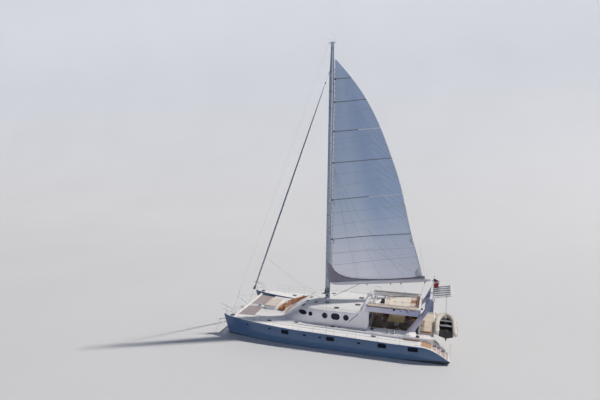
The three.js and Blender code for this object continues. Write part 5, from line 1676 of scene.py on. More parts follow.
# Foredeck: a low centre locker with pads, seats ahead of the saloon, windlass and crossbeam
locker = Shape().stack(rounded(1.7, 2.9, 0.3, 6), ((1.0, 0.001), (1.0, 0.3), (0.985, 0.335), (0.95, 0.345)),
                       (8.25, -0.5, DECK_Z))
put("foredeck_locker", locker, GELCOAT)
for k in range(3):
    y0 = -1.85 + k * 0.9
    cushion(f"foredeck_pad_{k}", (7.5, y0 + 0.01, DECK_Z + 0.345), (9.0, y0 + 0.89, DECK_Z + 0.44),
            SAND_CUSHION,
            seed=150 + k)
# x, y, turn
FORE_SEATS = [(6.42, 0.52, 0.02), (6.36, -0.55, -0.12), (6.08, -1.58, -0.42), (5.66, -2.52, -0.62),
              (5.05, -3.32, -0.8)]
for k, (x, y, turn) in enumerate(FORE_SEATS):
    place = placed(x, y, DECK_Z, turn)
    cushion(f"fore_seat_{k}", (-0.02, -0.52, 0.002), (0.72, 0.52, 0.36), ORANGE_SEAT, turn=place,
            seed=160 + k)
    cushion(f"fore_back_{k}", (-0.06, -0.52, -0.3), (0.06, 0.52, 0.28), BROWN_SEAT,
            turn=place @ placed(-0.07, 0, 0.34, -0.3, "Y"), seed=170 + k)
    cushion(f"fore_pillow_{k}", (-0.07, -0.2, -0.13), (0.07, 0.2, 0.17),
            PALE_CUSHION if k % 2 else BROWN_SEAT,
            turn=place @ placed(0.12, 0.2, 0.47, -0.4, "Y"), square=4, seed=190 + k)
windlass = Shape().stack(rounded(0.5, 0.34, 0.1),
                         ((1, 0), (1, 0.05), (0.9, 0.08), (0.85, 0.2), (0.7, 0.24)),
                         (9.9, 0, 1.851))
DRUM = [(0, 0), (0.09, 0), (0.1, 0.02), (0.06, 0.05), (0.06, 0.09), (0.1, 0.12), (0.09, 0.14), (0, 0.14)]
for s in (-1, 1):
    windlass.lathe(DRUM, 18, placed(9.9, s * 0.13, 2.0, -s * math.pi / 2, "X"))
windlass.box(10.2, 11.3, -0.03, 0.03, 1.851, 1.875)
put("windlass", windlass, STEEL, bevel=0.004)
beam = Shape().loft([[(11.5 + a, y, 1.84 + b) for a, b in soft_square(0.16, 0.16, 2.6, 28)]
                     for y in evenly(-4.3, 4.3, 20)])
put("crossbeam_spar", beam, TRIM, replaces=("crossbeam",))
rail = Shape()
for ys in ((-4.1, -2, -0.3), (0.3, 2, 4.1)):
    rail.tube([(11.4, y, 2.02) for y in ys], 0.012, 8)
put("beam_jackstay", rail, STEEL)


def net_point(s, u, v):
    sag = 0.045 * math.sin(math.pi * u) * math.sin(math.pi * v)
    return Vector((9.37 + 1.9 * u, s * (0.37 + (3.34 + 0.27 * u) * v), 1.79 - sag))


for side, s in SIDES:
    grid = cloth_grid(lambda u, v: net_point(s, v, u), 14, 22)
    net = cloth(f"net_{side}", grid, NET, 0.006)
    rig.sheet(net, flat=(1.9, 3.48), held="stretched", rests_on=["bridge_deck", "crossbeam_spar"])
    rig.replaces(net, f"trampoline_{side}")
    edge = grid[0] + [row[22] for row in grid[1:]] + grid[14][-2::-1] + [row[0] for row in grid[13:0:-1]]
    lace = Shape().tube(edge, 0.014, 6, closed=True)
    for j in range(22):
        for row, x, z in ((grid[14], 11.37, 1.84), (grid[0], 9.305, 1.8)):
            a, b = row[j], row[j + 1]
            lace.tube([a, (x, (a.y + b.y) / 2, z), b], 0.006, 5)
    put(f"net_lacing_{side}", lace, ROPE_WHITE, slot="net")

# Bow rails and seats, lifelines with their stanchions, the ladder and the locker lids

rails = Shape()
for s in (-1, 1):
    top = [Vector((x, HULL_Y + s * y, deck_at(x) + h))
           for x, y, h in ((11.25, 0.3, 0.9), (12.2, 0.15, 1.05), (12.85, 0, 1.1))]
    rails.tube([top[0] - Vector((0, 0, h)) for h in (0.9, 0.1)] + through(top, 14), 0.018)
    rails.tube([(12.15, HULL_Y + s * 0.13, deck_at(12.15)), top[1]], 0.016)
    middle = [(11.25, HULL_Y + s * 0.3, deck_at(11.25) + 0.48),
              (12.2, HULL_Y + s * 0.14, deck_at(12.2) + 0.52),
              (12.78, HULL_Y, deck_at(12.5) + 0.52)]
    rails.tube(through(middle, 12), 0.013, 8)
rails.lathe([(0, 0), (0.03, 0), (0.034, 0.03), (0.026, 0.08), (0, 0.085)], 14,
            placed(12.8, HULL_Y, deck_at(12.5) + 1.06))
both("bow_rail", rails, STEEL, replaces=("pulpit",))
seat = Shape().stack(rounded(0.46, 0.36, 0.08), ((0.95, 0.505), (1, 0.515), (1, 0.535), (0.96, 0.545)),
                     (12.08, HULL_Y, deck_at(12.2)))
both("bow_seat", seat, TRIM)
# x, distance from the widest line
STANCHIONS = [(9.6, 0.575), (8.0, 0.32), (5.9, 0.15), (3.7, 0.08), (1.4, 0.065), (-0.9, 0.06),
              (-3.2, 0.06), (-5.5, 0.06), (-7.7, 0.06), (-9.7, 0.085)]
posts, wires = Shape(), Shape()
feet = [Vector((x, 5.85 - inset, deck_at(x))) for x, inset in STANCHIONS]
for p in feet:
    posts.tube([p + Vector((0, 0, h)) for h in (0, 0.45, 0.87)], [0.016, 0.014, 0.013], 8)
    posts.lathe([(0, 0), (0.045, 0), (0.04, 0.02), (0.022, 0.05), (0.02, 0.09), (0, 0.09)], 12, placed(*p))
for height in (0.43, 0.85):
    for a, b in zip(feet, feet[1:]):
        wires.tube([a.lerp(b, t) + Vector((0, 0, height - 0.012 * math.sin(math.pi * t)))
                    for t in evenly(0, 1, 6)], 0.006, 6)
both("stanchions", posts, STEEL, replaces=("lifeline",))
both("guard_wires", wires, STEEL)
a, b = feet[9], Vector((-10.62, 5.6, 1.44))
route = [a + Vector((0, 0, 0.85)), a + Vector((-0.5, 0, 0.8)), b + Vector((0, 0, 0.55)), b]
both("aft_handrail", Shape().tube(through(route, 14), 0.014, 8), STEEL)
LADDER_Y = HULL_Y - 0.56
ladder = Shape()
for s in (-1, 1):
    route = [(-12.56, LADDER_Y + s * y, z)
             for y, z in ((0.18, -0.65), (0.18, 0.4), (0.18, 1.38), (0.1, 1.5))]
    ladder.tube(through(route, 20), 0.016)
ladder.tube([(-12.56, LADDER_Y - 0.1, 1.5), (-12.56, LADDER_Y + 0.1, 1.5)], 0.016)
put("ladder_rails", ladder, STEEL, replaces=("swim_ladder",))
rungs = Shape()
for z in (-0.6, -0.3, 0.0):
    rungs.box(-12.6, -12.52, LADDER_Y - 0.17, LADDER_Y + 0.17, z - 0.014, z + 0.014)
rungs.box(-12.56, -12.5, LADDER_Y - 0.2, LADDER_Y + 0.2, 0.24, 0.3)
put("ladder_rungs", rungs, TRIM, slot="steel", bevel=0.006)
for side, s in SIDES:
    y = s * HULL_Y
    lid = Shape().stack(rounded(0.45, 0.42, 0.07), ((0.97, 2.205), (1, 2.21), (1, 2.222), (0.96, 2.229)),
                        (11.425, y, 0))
    lid.box(11.605, 11.648, y - 0.15, y + 0.15, 2.172, 2.209)
    put(f"locker_cover_{side}", lid, SMOKED, body=f"lid_{side}", replaces=(f"locker_lid_{side}",))

# Under water: rudder blades and folding propellers

RUDDER = [(0.3, 0), (0.24, 0.03), (0.12, 0.05), (-0.02, 0.052), (-0.15, 0.046), (-0.33, 0.025),
          (-0.48, 0.006)]
RUDDER_LEVELS = ((-0.682, 0.98), (-0.7, 1), (-1.0, 0.97), (-1.3, 0.92), (-1.6, 0.8), (-1.72, 0.7),
                 (-1.748, 0.6))
HUB = [(0, -0.19), (0.03, -0.185), (0.045, -0.15), (0.06, -0.1), (0.07, -0.02), (0.07, -0.002), (0, -0.002)]
# radius, half width, thickness
BLADE = ((0.04, 0.04, 0.02), (0.09, 0.07, 0.018), (0.15, 0.1, 0.015), (0.21, 0.1, 0.012),
         (0.26, 0.078, 0.009),
         (0.285, 0.04, 0.007))


def propeller_blade():
    rings = []
    for r, half, thick in BLADE:
        pitch = math.atan2(0.33, 2 * math.pi * r * 0.7)
        c, s = math.cos(pitch), math.sin(pitch)
        rings.append([(-8.545 + a * s + b * c, a * c - b * s, r)
                      for a, b in soft_square(half, thick / 2, 2.4, 14)])
    return rings


for side, s in SIDES:
    y0 = s * HULL_Y
    blade = Shape().loft([[(-10.28 + x * k, y0 + y * k, z) for x, y in two_sided(RUDDER)]
                          for z, k in RUDDER_LEVELS])
    blade.tube([(-10.3, y0, -0.9), (-10.3, y0, -0.642)], 0.05, 18)
    put(f"rudder_blade_{side}", blade, HULL, body=f"steering_rudder_{side}", slot="black",
        replaces=(f"rudder_{side}",))
    prop = Shape().lathe(HUB, 20, placed(-8.45, y0, -1.2, math.pi / 2, "Y"))
    for a in angles(3):
        prop.loft(propeller_blade(), turn=placed(0, y0, -1.2, a, "X"))
    put(f"propeller_blades_{side}", prop, BRONZE, body=f"drive_{side}", replaces=(f"propeller_{side}",))

# Rig. Its frame rakes with the mast; the boom's frame turns about the gooseneck.

MAST_FOOT_Z = 3.65
RAKE = math.radians(-1.17)
RIG = placed(1.25, 0, MAST_FOOT_Z, RAKE, "Y")
BOOM = RIG @ placed(-0.4, 0, 1.85039, math.pi + math.radians(15.5))


def on_rig(x, y, z, up=0.0):
    """A point by the mast at height z over the water, or up higher along the mast."""
    return RIG @ Vector((x, y, (z - MAST_FOOT_Z) / math.cos(RAKE) + up))


def on_boom(x, y, z):
    return BOOM @ Vector((x, y, z))


# z, half length and half width of the mast's section
MAST = [(3.65, 0.28, 0.15), (29.7, 0.28, 0.15), (30.6, 0.23, 0.125), (33.0, 0.16, 0.09)]
rings = []
for z in (3.66, 3.67, 12, 20, 29.7, 30.0, 30.3, 30.6, 31.5, 32.9, 32.97, 33.0):
    half = [smooth_at(MAST, z, k) * (0.97 if z == 33.0 else 1) for k in (1, 2)]
    rings.append([on_rig(a, b, z) for a, b in soft_square(*half, 2.3, 32)])
put("mast_tube", Shape().loft(rings), MAST_PAINT, replaces=("mast",), sharp=45)


def rig_box(shape, x0, x1, y0, y1, z0, z1):
    """A block by the mast; its ends lie square to the mast."""
    box = Shape().box(x0, x1, y0, y1, z0, z1)
    shape.add([on_rig(*v) for v in box.verts], box.faces)


track = Shape()
for k in range(30):
    z0, z1 = 5.9 + k * 0.84, 5.9 + (k + 1) * 0.84 - 0.01
    back = -0.28 if z1 < 29.7 else -0.23
    rig_box(track, back - 0.028, back + 0.02, -0.026, 0.026, z0, z1)
put("mast_track", track, TRIM, slot="alloy")
collar = Shape()
for z0, z1, grow in ((3.651, 3.72, 1.35), (3.72, 3.78, 1.18)):
    collar.loft([[on_rig(a * grow, b * grow, z) for a, b in soft_square(0.28, 0.15, 2.3, 32)]
                 for z in (z0, z1)])
put("mast_collar", collar, STEEL, bevel=0.006, replaces=("mast_step",))
heads = Shape()
for row in ((-0.07, 0.07, -0.33, 0.33, 29.2, 29.4), (0.2, 0.36, -0.045, 0.045, 29.58, 29.82),
            (-0.33, 0.4, -0.05, 0.05, 32.86, 33.005)):
    rig_box(heads, *row)
put("mast_tangs", heads, ALLOY, bevel=0.01)
gear = Shape()
for x, y, z, turn, axis in ((0.02, 0.15, 4.1, -90, "X"), (0.02, -0.15, 4.1, 90, "X"),
                            (-0.12, 0.15, 4.55, -90, "X"),
                            (-0.12, -0.15, 4.55, 90, "X"), (0.29, 0.0, 4.25, 90, "Y")):
    winch(gear, RIG @ placed(x, y, z - MAST_FOOT_Z, math.radians(turn), axis), sides=18)
put("mast_winches", gear, BLACK)


def halyard_coil(shape, x, y, z):
    """A coil of line that hangs before the mast, or flat along its side."""
    ahead = x > 0.2
    spread, wide, along = (0.02, 0.07, 0.0) if ahead else (0.006, 0.0175, 0.06)
    for k in range(4):
        shape.tube([RIG @ Vector((x + spread * k, y + math.copysign(0.015 * k, y) + wide * math.sin(a),
                                  z - MAST_FOOT_Z - 0.22 + (0.27 + 0.01 * k) * math.cos(a)))
                    + Vector((along * math.sin(a), 0, 0)) for a in angles(22)], 0.011, 5, closed=True)


coils, halyards = Shape(), Shape()
for row in ((0.26, 0.1, 4.75), (0.26, -0.1, 4.75), (-0.1, 0.19, 4.95), (-0.1, -0.19, 4.95),
            (0.1, 0.2, 4.85)):
    halyard_coil(coils, *row)
put("halyard_coils", coils, ROPE_DARK)
for x, y in ((0.295, 0.03), (0.295, -0.03), (0.12, 0.16), (0.12, -0.16)):
    halyards.tube([on_rig(x, y, z) for z in (4.3, 12, 20, 29.5)], 0.007, 5)
put("halyards", halyards, ROPE_WHITE)
gear = Shape().tube([on_rig(-0.25, 0.03, 33.0, up) for up in (0, 0.85)], [0.012, 0.004], 6)
gear.tube([on_rig(x, 0, 33.0, up) for x, up in ((0.2, 0), (0.3, 0.35), (0.62, 0.4))], 0.008, 6)
gear.lathe([(0, 0), (0.04, 0), (0.045, 0.04), (0.03, 0.1), (0, 0.11)], 14,
           RIG @ placed(0, 0, (33.0 - MAST_FOOT_Z) / math.cos(RAKE)))
put("masthead_gear", gear, BLACK)

# Standing rigging: wires with turnbuckles, and the rolled headsail with its drum and swivel

STAY_FOOT = Vector((11.44, 0, 2.005))
STAY_HEAD = on_rig(0.35, 0, 29.7)
# share of the way up the stay, radius of the rolled sail
GENOA = [(0.083, 0.06), (0.09, 0.09), (0.3, 0.108), (0.5, 0.097), (0.75, 0.07), (0.93, 0.036),
         (0.955, 0.02)]
TURNBUCKLE = [(0, 0.4), (0.05, 1.0), (0.12, 1.0), (0.2, 0.6), (0.22, 1.1), (0.5, 1.1), (0.52, 0.6),
              (0.62, 0.6),
              (0.7, 0.35)]


def along_stay(t):
    return STAY_FOOT.lerp(STAY_HEAD, t)


way = (STAY_HEAD - STAY_FOOT).normalized()
a = way.orthogonal().normalized()
b = way.cross(a)
rings = []
for k, t in enumerate(evenly(0.083, 0.955, 150)):
    r = smooth_at(GENOA, t) * (0.965 + 0.03 * math.sin(k * 2.1))
    ring = []
    for turn in angles(20):
        lap = 0.9 + 0.12 * ((turn / (2 * math.pi) + k * 0.055) % 1.0)
        ring.append(along_stay(t) + r * lap * (math.cos(turn) * a + math.sin(turn) * b))
    rings.append(ring)
rolled = put("rolled_headsail", Shape().loft(rings), ROLL_WITH_PAINTED_SHADE, sharp=50, replaces=("furled_genoa",))
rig.padded(rolled, 1.0)
wire = Shape().tube([STAY_FOOT, along_stay(0.069)], 0.012, 8).tube([along_stay(0.95), STAY_HEAD], 0.012, 8)
upright = Matrix((a, b, way)).transposed().to_4x4()
drum = [(0.0, 0.0), (0.16, 0.0), (0.168, 0.03), (0.11, 0.06), (0.1, 0.2), (0.165, 0.24), (0.165, 0.28),
        (0.06, 0.3),
        (0.0, 0.3)]
wire.lathe(drum, 24, Matrix.Translation(along_stay(0.0705)) @ upright)
swivel = [(0, 0), (0.05, 0), (0.063, 0.04), (0.063, 0.14), (0.04, 0.2), (0, 0.2)]
wire.lathe(swivel, 18, Matrix.Translation(along_stay(0.957)) @ upright)
put("furling_gear", wire, BLACK, slot="steel")


def wire_between(shape, foot, head, radius, screw=0.7):
    """A wire with a turnbuckle at its foot and a toggle at its head."""
    foot, head = Vector(foot), Vector(head)
    way = (head - foot).normalized()
    shape.tube([foot + way * screw, head], radius, 8)
    shape.tube([foot + way * (screw * m / 0.7) for m, _ in TURNBUCKLE], [0.03 * k for _, k in TURNBUCKLE])
    shape.tube([head - way * 0.25, head - way * 0.05], 0.02, 8)


stay = Shape()
wire_between(stay, (12.94, 0, 2.93), on_rig(0.38, 0, 33.0, -0.04), 0.009)
for s in (-1, 1):
    wire_between(stay, (12.9, s * 0.02, 2.8), (12.2, s * 4.35, 1.7), 0.01, 0.5)
put("outer_forestay", stay, STEEL, replaces=("outer_stay",))
for side, s in SIDES:
    shroud = Shape()
    wire_between(shroud, (0, s * 5.5, 1.82), on_rig(0, s * 0.32, 29.3), 0.011, 0.9)
    shroud.box(-0.05, 0.05, s * 5.5 - 0.012, s * 5.5 + 0.012, 1.76, 1.88)
    put(f"shroud_wire_{side}", shroud, STEEL, replaces=(f"shroud_{side}",))
root, tip = Vector((11.58, 0, 1.89)), Vector((13.0, 0, 2.85))
sprit = Shape().tube([root.lerp(tip, t) for t in (0.02, 0.5, 0.9, 0.97, 1.0)],
                     [0.075, 0.068, 0.06, 0.066, 0.045], 24)
put("bowsprit_spar", sprit, TRIM, slot="alloy", replaces=("bowsprit",))
sheets = Shape()
clew = Vector((8.8, 0, 7.9))
for s in (-1, 1):
    foot = Vector((1.9, s * 0.5, 3.72))
    sheets.tube([clew.lerp(foot, t) - Vector((0, 0, 0.25 * math.sin(math.pi * t)))
                 for t in evenly(0, 1, 14)], 0.011, 6)
put("headsail_sheets", sheets, ROPE_WHITE)

# Boom, bag and mainsail, all in the boom's frame: x runs aft along the boom

# x, half height and half width of the boom's section
BOOM_ROWS = [(0.24, 0.12, 0.08), (1.0, 0.19, 0.12), (6.0, 0.205, 0.13), (10.3, 0.195, 0.12),
             (11.6, 0.13, 0.09)]
BAG_TOP = [(0.09, 1.95), (0.4, 1.486), (0.9, 1.13), (1.6, 0.85), (2.43, 0.7), (3.4, 0.63), (4.57, 0.6),
           (6.0, 0.64),
           (7.5, 0.735), (9.0, 0.88), (10.4, 1.07), (10.9, 1.11)]
# height, the sail's length from luff to leech there
CHORDS = [(1.225, 10.65), (3.612, 9.96), (6.344, 9.14), (10.878, 8.0), (12.667, 7.46), (14.848, 6.66),
          (18.322, 5.23), (21.438, 3.525), (23.754, 1.8), (25.616, 0.12)]
HEAD_Z = 25.616
LUFF_X = -0.06


def boom_z(x):
    return 0.69 * x / 11.6


def sail_foot(u):
    return at(BAG_TOP, LUFF_X + u * 10.9) - 0.1


def sail_point(u, v, off=0.0):
    """The sail at a share u from luff to leech and v from foot to head, moved off it sideways."""
    foot = sail_foot(u)
    z = foot + (HEAD_Z - foot) * v
    chord = smooth_at(CHORDS, z)
    belly = 0.055 * min(1, v / 0.25) * (1 - 0.3 * v)
    y = 4 * belly * chord * u * (1 - u) + math.tan(math.radians(4) * v) * u * chord
    crease = (0.010 * math.sin(u * 70 + 3 * noise(Vector((u * 4, v * 20, 0))))
              * math.exp(-u * 7) * min(1, 12 * u))
    slack = 0.016 * noise(Vector((u * 7, v * 16, 2.0))) * min(1, 8 * u, 8 * (1 - u))
    return on_boom(LUFF_X + u * chord, y + crease + slack + off, z)


def boom_ring(x, share):
    """The boom's section at x, at a share of its size."""
    outline = soft_square(smooth_at(BOOM_ROWS, x, 1) * share, smooth_at(BOOM_ROWS, x, 2) * share, 3, 28)
    return [on_boom(x, b, boom_z(x) + a) for a, b in outline]


boom = Shape().loft([boom_ring(x, {0.24: 0.8, 11.57: 0.92, 11.6: 0.75}.get(x, 1)) for x in
                     (0.24, 0.3, 0.6, 1.0, 2.5, 4.5, 6.0, 8.0, 10.3, 11.0, 11.5, 11.57, 11.6)])
boom.tube([on_boom(0.0, 0, 0.0), on_boom(0.26, 0, 0.015)], 0.065, 16)
put("boom_spar", boom, BOOM_PAINT, body="rig_boom", replaces=("boom",), sharp=40)
cap = Shape().loft([boom_ring(*row) for row in ((11.2, 1.02), (11.22, 1.05), (11.5, 1.05), (11.56, 0.97),
                                                (11.598, 0.75))])
put("boom_end", cap, TRIM, body="rig_boom", sharp=40)
sheaves = Shape()
for x in (11.28, 11.42):
    sheaves.lathe([(0, -0.1), (0.05, -0.1), (0.05, 0.1), (0, 0.1)], 14,
                  BOOM @ placed(x, 0, boom_z(x) + 0.06, math.pi / 2, "X"))
for x in (4.2, 6.96, 8.12, 10.9):
    sheaves.stack(soft_square(0.06, 0.03, 4, 14), ((1, 0.02), (1, -0.08), (0.9, -0.14), (0.5, -0.17)),
                  (x, 0, boom_z(x) - 0.2), BOOM)
put("boom_blocks", sheaves, BLACK, body="rig_boom")


def bag_half(x):
    """The bag's section at x, from its foot up one side: half width and height."""
    low, top = boom_z(x) + at(BOOM_ROWS, x, 1) - 0.02, at(BAG_TOP, x)
    if x < 0.5:
        low = max(low, 0.14)
    half = []
    for t in evenly(0, 1, 7):
        ends = (0.35 + 0.65 * min(1, (x - 0.09) / 0.6)) * (1.0 if x < 10.5 else (10.95 - x) / 0.45)
        pucker = 0.012 * noise(Vector((x * 3.0, t * 2, 4))) * (0.3 + 0.7 * t)
        half.append((max(0.012, (0.135 - 0.085 * t) * ends + pucker), low + (top - low) * t))
    return half


def bag_ring(x):
    half = bag_half(x)
    return [on_boom(x, y, z) for y, z in half] + [on_boom(x, -y, z) for y, z in reversed(half)]


# The open bag under the sail: its sides lean together and pucker at the top edge
BAG_XS = evenly(0.095, 10.86, 110)
bag = put("sail_bag_cloth", Shape().loft([bag_ring(x) for x in BAG_XS]), BAG, body="rig_boom", sharp=60,
          replaces=("sail_bag",))
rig.padded(bag, 0.5)
hem, rail = Shape(), Shape()
for s in (1, -1):
    hem.tube([on_boom(x, s * 0.045, at(BAG_TOP, x) + 0.004) for x in BAG_XS], 0.028, 8)
    rail.tube([on_boom(x, s * 0.115 * min(1, 0.3 + x), boom_z(x) + at(BOOM_ROWS, x, 1) + 0.025)
               for x in evenly(0.4, 10.55, 29)], 0.014, 6)
# The hem is near black, partly the dark edge itself and partly painted shade under the sail's foot.
put("bag_hem", hem, BAG_DARK, body="rig_boom")
put("bag_track", rail, TRIM, body="rig_boom", slot="alloy")


def wrap_point(s, u, v):
    """The bag's front laps round one side of the mast, higher there than over the boom."""
    front, side = -0.2 + 0.4 * v, s * 0.162
    back = RIG.inverted() @ BOOM @ Vector((0.125, -s * 0.055, 1.9 * v + 0.02 * (1 - v)))
    x = front + (back.x - front) * u
    if x > 0:
        y = s * (0.012 + 0.15 * math.sqrt(max(0.0, 1 - (x / 0.28) ** 2)))
    else:
        y = side if x > -0.27 else side + (back.y - side) * (x + 0.27) / (back.x + 0.27)
    y += s * 0.008 * noise(Vector((x * 6, v * 3, s)))
    top = at(((-0.53, 3.78), (-0.28, 4.2), (0.2, 4.45)), x)
    return RIG @ Vector((x, y, 1.99 + (top - 1.99) * v))


for side, s in SIDES:
    grid = cloth_grid(lambda u, v: wrap_point(s, u, v), 24, 18)
    wrap = cloth(f"bag_wrap_{side}", grid, BAG, 0.006, rides=False)
    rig.sheet(wrap, flat=(0.78, 2.5), held="stretched", rests_on=["sail_bag_cloth", "mast_tube"],
             area=cloth_area(grid))
    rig.blend(wrap, "boat", "rig_boom", RIG @ Vector((-0.29, 0, 3)), RIG @ Vector((-0.5, 0, 3)))

grid = cloth_grid(sail_point, 150, 44)
main = cloth("mainsail_cloth", grid, SAIL, 0.008, body="rig_boom")
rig.replaces(main, "mainsail")
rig.sheet(main, flat=(10.9, 25.7), held="stretched", rests_on=["mast_track", "boom_spar"],
         area=cloth_area(grid))

# On the sail: battens, cars, seams, threads, edge tapes, patches, and the lines that serve it


def sail_at(u, z, off):
    """The sail's surface at a share of the chord and a height in the boom's frame."""
    foot = sail_foot(u)
    return sail_point(u, (z - foot) / (HEAD_Z - foot), off)


def sail_strip(shape, spots, low, high, off):
    """A flat band on each side of the sail: its edges lie at two shifts from a line of (u, z) spots."""
    for s in (1, -1):
        points = [sail_at(u + du, z + dz, s * off) for du, dz in (low, high) for u, z in spots]
        shape.add(points, grid_faces(2, len(spots)))


def sail_band(shape, u0, z0, u1, z1, width, off):
    """A straight band."""
    spots = [(u0 + (u1 - u0) * t, z0 + (z1 - z0) * t) for t in evenly(0, 1, 40)]
    sail_strip(shape, spots, (0, -width / 2), (0, width / 2), off)


# Battens: height at the mast and height at the leech, in the boat's frame
BATTENS = [(29.0, 29.2), (26.45, 26.85), (23.2, 23.7), (19.65, 20.3), (15.4, 16.2), (10.8, 11.6)]
GOOSENECK_Z = 5.49
battens, pale, cars = Shape(), Shape(), Shape()
for k, (luff, leech) in enumerate(BATTENS):
    z0, z1 = luff - GOOSENECK_Z, leech - GOOSENECK_Z
    if k in (2, 4):
        middle = z0 + (z1 - z0) * 0.52
        sail_band(battens, 0.004, z0, 0.52, middle, 0.085, 0.016)
        sail_band(pale, 0.52, middle, 0.999, z1, 0.11, 0.018)
    else:
        sail_band(battens, 0.004, z0, 0.999, z1, 0.085, 0.016)
    cars.box(-0.09, 0.05, -0.05, 0.05, -0.09, 0.09, placed(*sail_at(0.0, z0, 0), RAKE, "Y"))
put("battens", battens, BATTEN, body="rig_boom", thick=0.004)
put("batten_pockets", pale, TRIM_CLOTH, body="rig_boom", thick=0.004)
for k in range(44):
    cars.box(-0.04, 0.03, -0.03, 0.03, -0.035, 0.035, placed(*sail_at(0.0, 2.2 + k * 0.52, 0), RAKE, "Y"))
put("luff_cars", cars, BLACK, body="rig_boom", bevel=0.008)
seams, threads, tapes, patches = Shape(), Shape(), Shape(), Shape()
for k, z in enumerate((2.2, 3.6, 6.9, 8.4, 11.4, 12.8, 15.5, 16.8, 19.2, 22.3)):
    sail_band(seams, 0.005, z, 0.998, z + (0.9 if k % 2 else 1.25), 0.035, 0.0075)
for z0, u1, z1 in ((1.1, 0.999, 4.3), (1.15, 0.999, 6.6), (1.2, 0.8, 8.6)):
    sail_band(seams, 0.999, z0, 1 - u1 * 0.55, z1, 0.03, 0.0075)
put("sail_seams", seams, SEAM, body="rig_boom", thick=0.003)
for k in range(26):
    z, reach = 23.4 - k * 0.62, 0.30 + 0.05 * math.sin(k * 1.7)
    spots = [(0.985 - reach * (1 - t), z - 2.0 * t) for t in evenly(0, 1, 8)]
    sail_strip(threads, spots, (0, 0), (0.0035, 0.012), 0.0075)
put("sail_threads", threads, THREAD, body="rig_boom", thick=0.002)
for us in ((0.0, 0.006, 0.012), (0.988, 0.994, 1.0)):
    for s in (1, -1):
        points = [sail_point(u, 0.995 * v, s * 0.009) for v in evenly(0, 1, 120) for u in us]
        tapes.add(points, grid_faces(121, 3))
put("sail_tapes", tapes, EDGE, body="rig_boom", thick=0.004)
# u, z, reach
REEF_PATCHES = ((1.0, 1.3, 0.8), (1.0, 5.2, 0.4), (1.0, 9.6, 0.4), (0.0, 5.1, 0.35), (0.0, 9.5, 0.35))
for u0, z0, reach in REEF_PATCHES:
    for s in (1, -1):
        fan = [sail_at(u0, z0, s * 0.014)]
        for a in (math.radians(t) for t in evenly(-75, 75, 8)):
            u = u0 - math.copysign(1, u0 - 0.5) * reach * math.cos(a) / smooth_at(CHORDS, z0)
            z = max(sail_foot(u0) + 0.05, z0 + reach * math.sin(a))
            fan.append(sail_at(min(0.999, max(0.001, u)), z, s * 0.014))
        patches.add(fan, [[0, k, k + 1] for k in range(1, 9)])
put("reef_patches", patches, EDGE, body="rig_boom", thick=0.004)
jacks, reefs = Shape(), Shape()
for s in (1, -1):
    for u, z in ((0.3, 0.75), (0.55, 0.8), (0.8, 1.0)):
        jacks.tube([sail_at(0.02 + (u - 0.02) * t, 13.5 + (z + 0.05 - 13.5) * t, s * 0.03)
                    for t in evenly(0, 1, 24)],
                   0.006, 5)
put("lazy_jacks", jacks, ROPE_DARK, body="rig_boom")
for y in (0.12, -0.12):
    reefs.tube([on_boom(11.35, y, boom_z(11.35) + 0.1), on_boom(10.75, y * 0.6, 1.6),
                on_boom(10.2, y * 0.4 + 0.35, 4.9)], 0.007, 5)
reefs.tube([on_boom(10.65, 0.0, 1.15), on_boom(11.3, 0.0, boom_z(11.3) + 0.14)], 0.014, 6)
put("reef_lines", reefs, ROPE_WHITE, body="rig_boom")

# Lines from the boom to the deck; each bends between the boat and the boom
# name, x on the boom, foot, radius, material, drop below the boom's middle
BOOM_LINES = (
    ("guy_fore", 6.96, (-6.75, -2.40, 4.24), 0.009, ROPE_WHITE, 0.36),
    ("guy_aft", 8.12, (-7.6, -2.45, 4.22), 0.009, ROPE_WHITE, 0.36),
    ("mainsheet_a", 10.9, (-9.3, -2.35, 4.26), 0.010, ROPE_WHITE, 0.36),
    ("mainsheet_b", 10.95, (-9.3, -2.5, 4.2), 0.010, ROPE_WHITE, 0.36),
    ("kicker", 3.3, (0.55, 0.0, 4.0), 0.022, ROPE_DARK, 0.2),
)
for name, x, foot, radius, material, drop in BOOM_LINES:
    foot, head = Vector(foot), on_boom(x, 0, boom_z(x) - drop)
    line = Shape().tube([foot.lerp(head, t) for t in evenly(0, 1, 24)], radius, 6)
    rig.blend(put(name, line, material, slot="black", rides=False), "boat", "rig_boom", foot, head)
blocks = Shape()
for foot in ((-6.75, -2.4, 4.22), (-7.6, -2.45, 4.2), (-9.3, -2.35, 4.24), (-9.3, -2.5, 4.18)):
    blocks.stack(soft_square(0.05, 0.03, 4, 14), ((0.8, 0), (1, 0.02), (1, 0.1), (0.6, 0.14)), foot)
put("sheet_blocks", blocks, BLACK)

# CAD nodes that stay
dress(GELCOAT, "bridge_deck", "walkway", "aft_bulkhead")
dress(GLASS, "saloon_door")

# Studio: the key light comes from astern and to starboard, as in the photograph

KEY_FROM = (-54, -29, 73)
SWEEP_R = 90


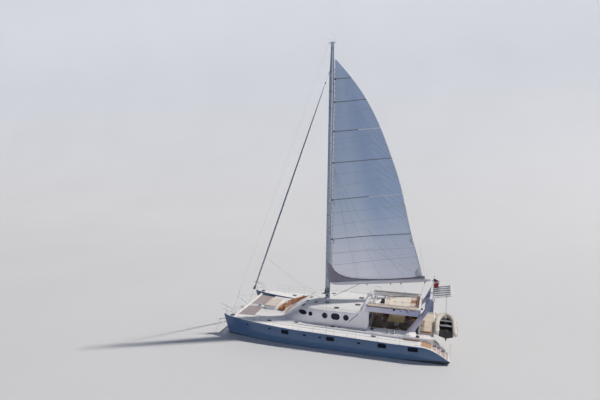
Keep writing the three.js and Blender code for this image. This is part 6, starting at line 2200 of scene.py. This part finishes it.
def floor_look():
    """A pale even floor. Where it curves up, away from the key light, it glows a little instead."""
    look = Look("studio_floor")
    drift = look.drift(0.05, 2)
    tone = look.mix(drift, (0.642, 0.648, 0.652), (0.658, 0.664, 0.668))
    sun = Vector(KEY_FROM).normalized()
    facing = look.plus(look.times(look.normal("Z"), sun.z), look.times(look.normal("Y"), sun.y))
    lost = look.math("SUBTRACT", 1.0, look.math("DIVIDE", look.larger(facing, 0.0), sun.z))
    look.bump(look.noise(3.0, 2), 0.0005)
    return look.finish(tone, look.ramp(drift, 0, 1, 0.68, 0.75), Emission_Color=tone,
                       Emission_Strength=look.times(lost, 0.56))


def studio_floor():
    curve = [(260, 0.0), (60, 0.0), (-60, 0.0)]
    curve += [(-60 - SWEEP_R * math.sin(a), SWEEP_R - SWEEP_R * math.cos(a))
              for a in evenly(0, math.pi / 2, 16)[1:]]
    curve.append((-150, 125))
    sweep = Shape().loft([[(x, y, z) for x in (-420, 420)] for y, z in curve], closed=False, caps=False)
    mesh = sweep.mesh("floor")
    floor = link_object("floor", mesh)
    mesh.materials.append(floor_look())
    mesh.shade_smooth()
    floor.visible_shadow = False
    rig.stage(floor)


def studio_world():
    world = bpy.data.worlds.new("studio")
    bpy.context.scene.world = world
    world.use_nodes = True
    background = world.node_tree.nodes["Background"]
    background.inputs["Color"].default_value = (0.50, 0.62, 1.0, 1)
    background.inputs["Strength"].default_value = 0.17


def sun_lamp(name, energy, place, target, spread, colour):
    data = bpy.data.lights.new(name, "SUN")
    data.energy = energy
    data.color = colour
    data.angle = math.radians(spread)
    way = Vector(target) - Vector(place)
    lamp = link_object(name, data)
    lamp.matrix_world = Matrix.Translation(place) @ way.to_track_quat("-Z", "Y").to_matrix().to_4x4()


studio_floor()
studio_world()
sun_lamp("key", 3.1, KEY_FROM, (0, 0, 0), 2, (1.0, 0.955, 0.885))
sun_lamp("fill", 0.70, (-10, 80, 18), (0, 0, 8), 34, (0.88, 0.89, 1.0))
bpy.context.scene.view_settings.view_transform = "Standard"

new_low, new_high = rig.bounds()
with open("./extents.json", "w") as out:
    json.dump({"cad": [list(cad_low), list(cad_high)], "visual": [list(new_low), list(new_high)]}, out)
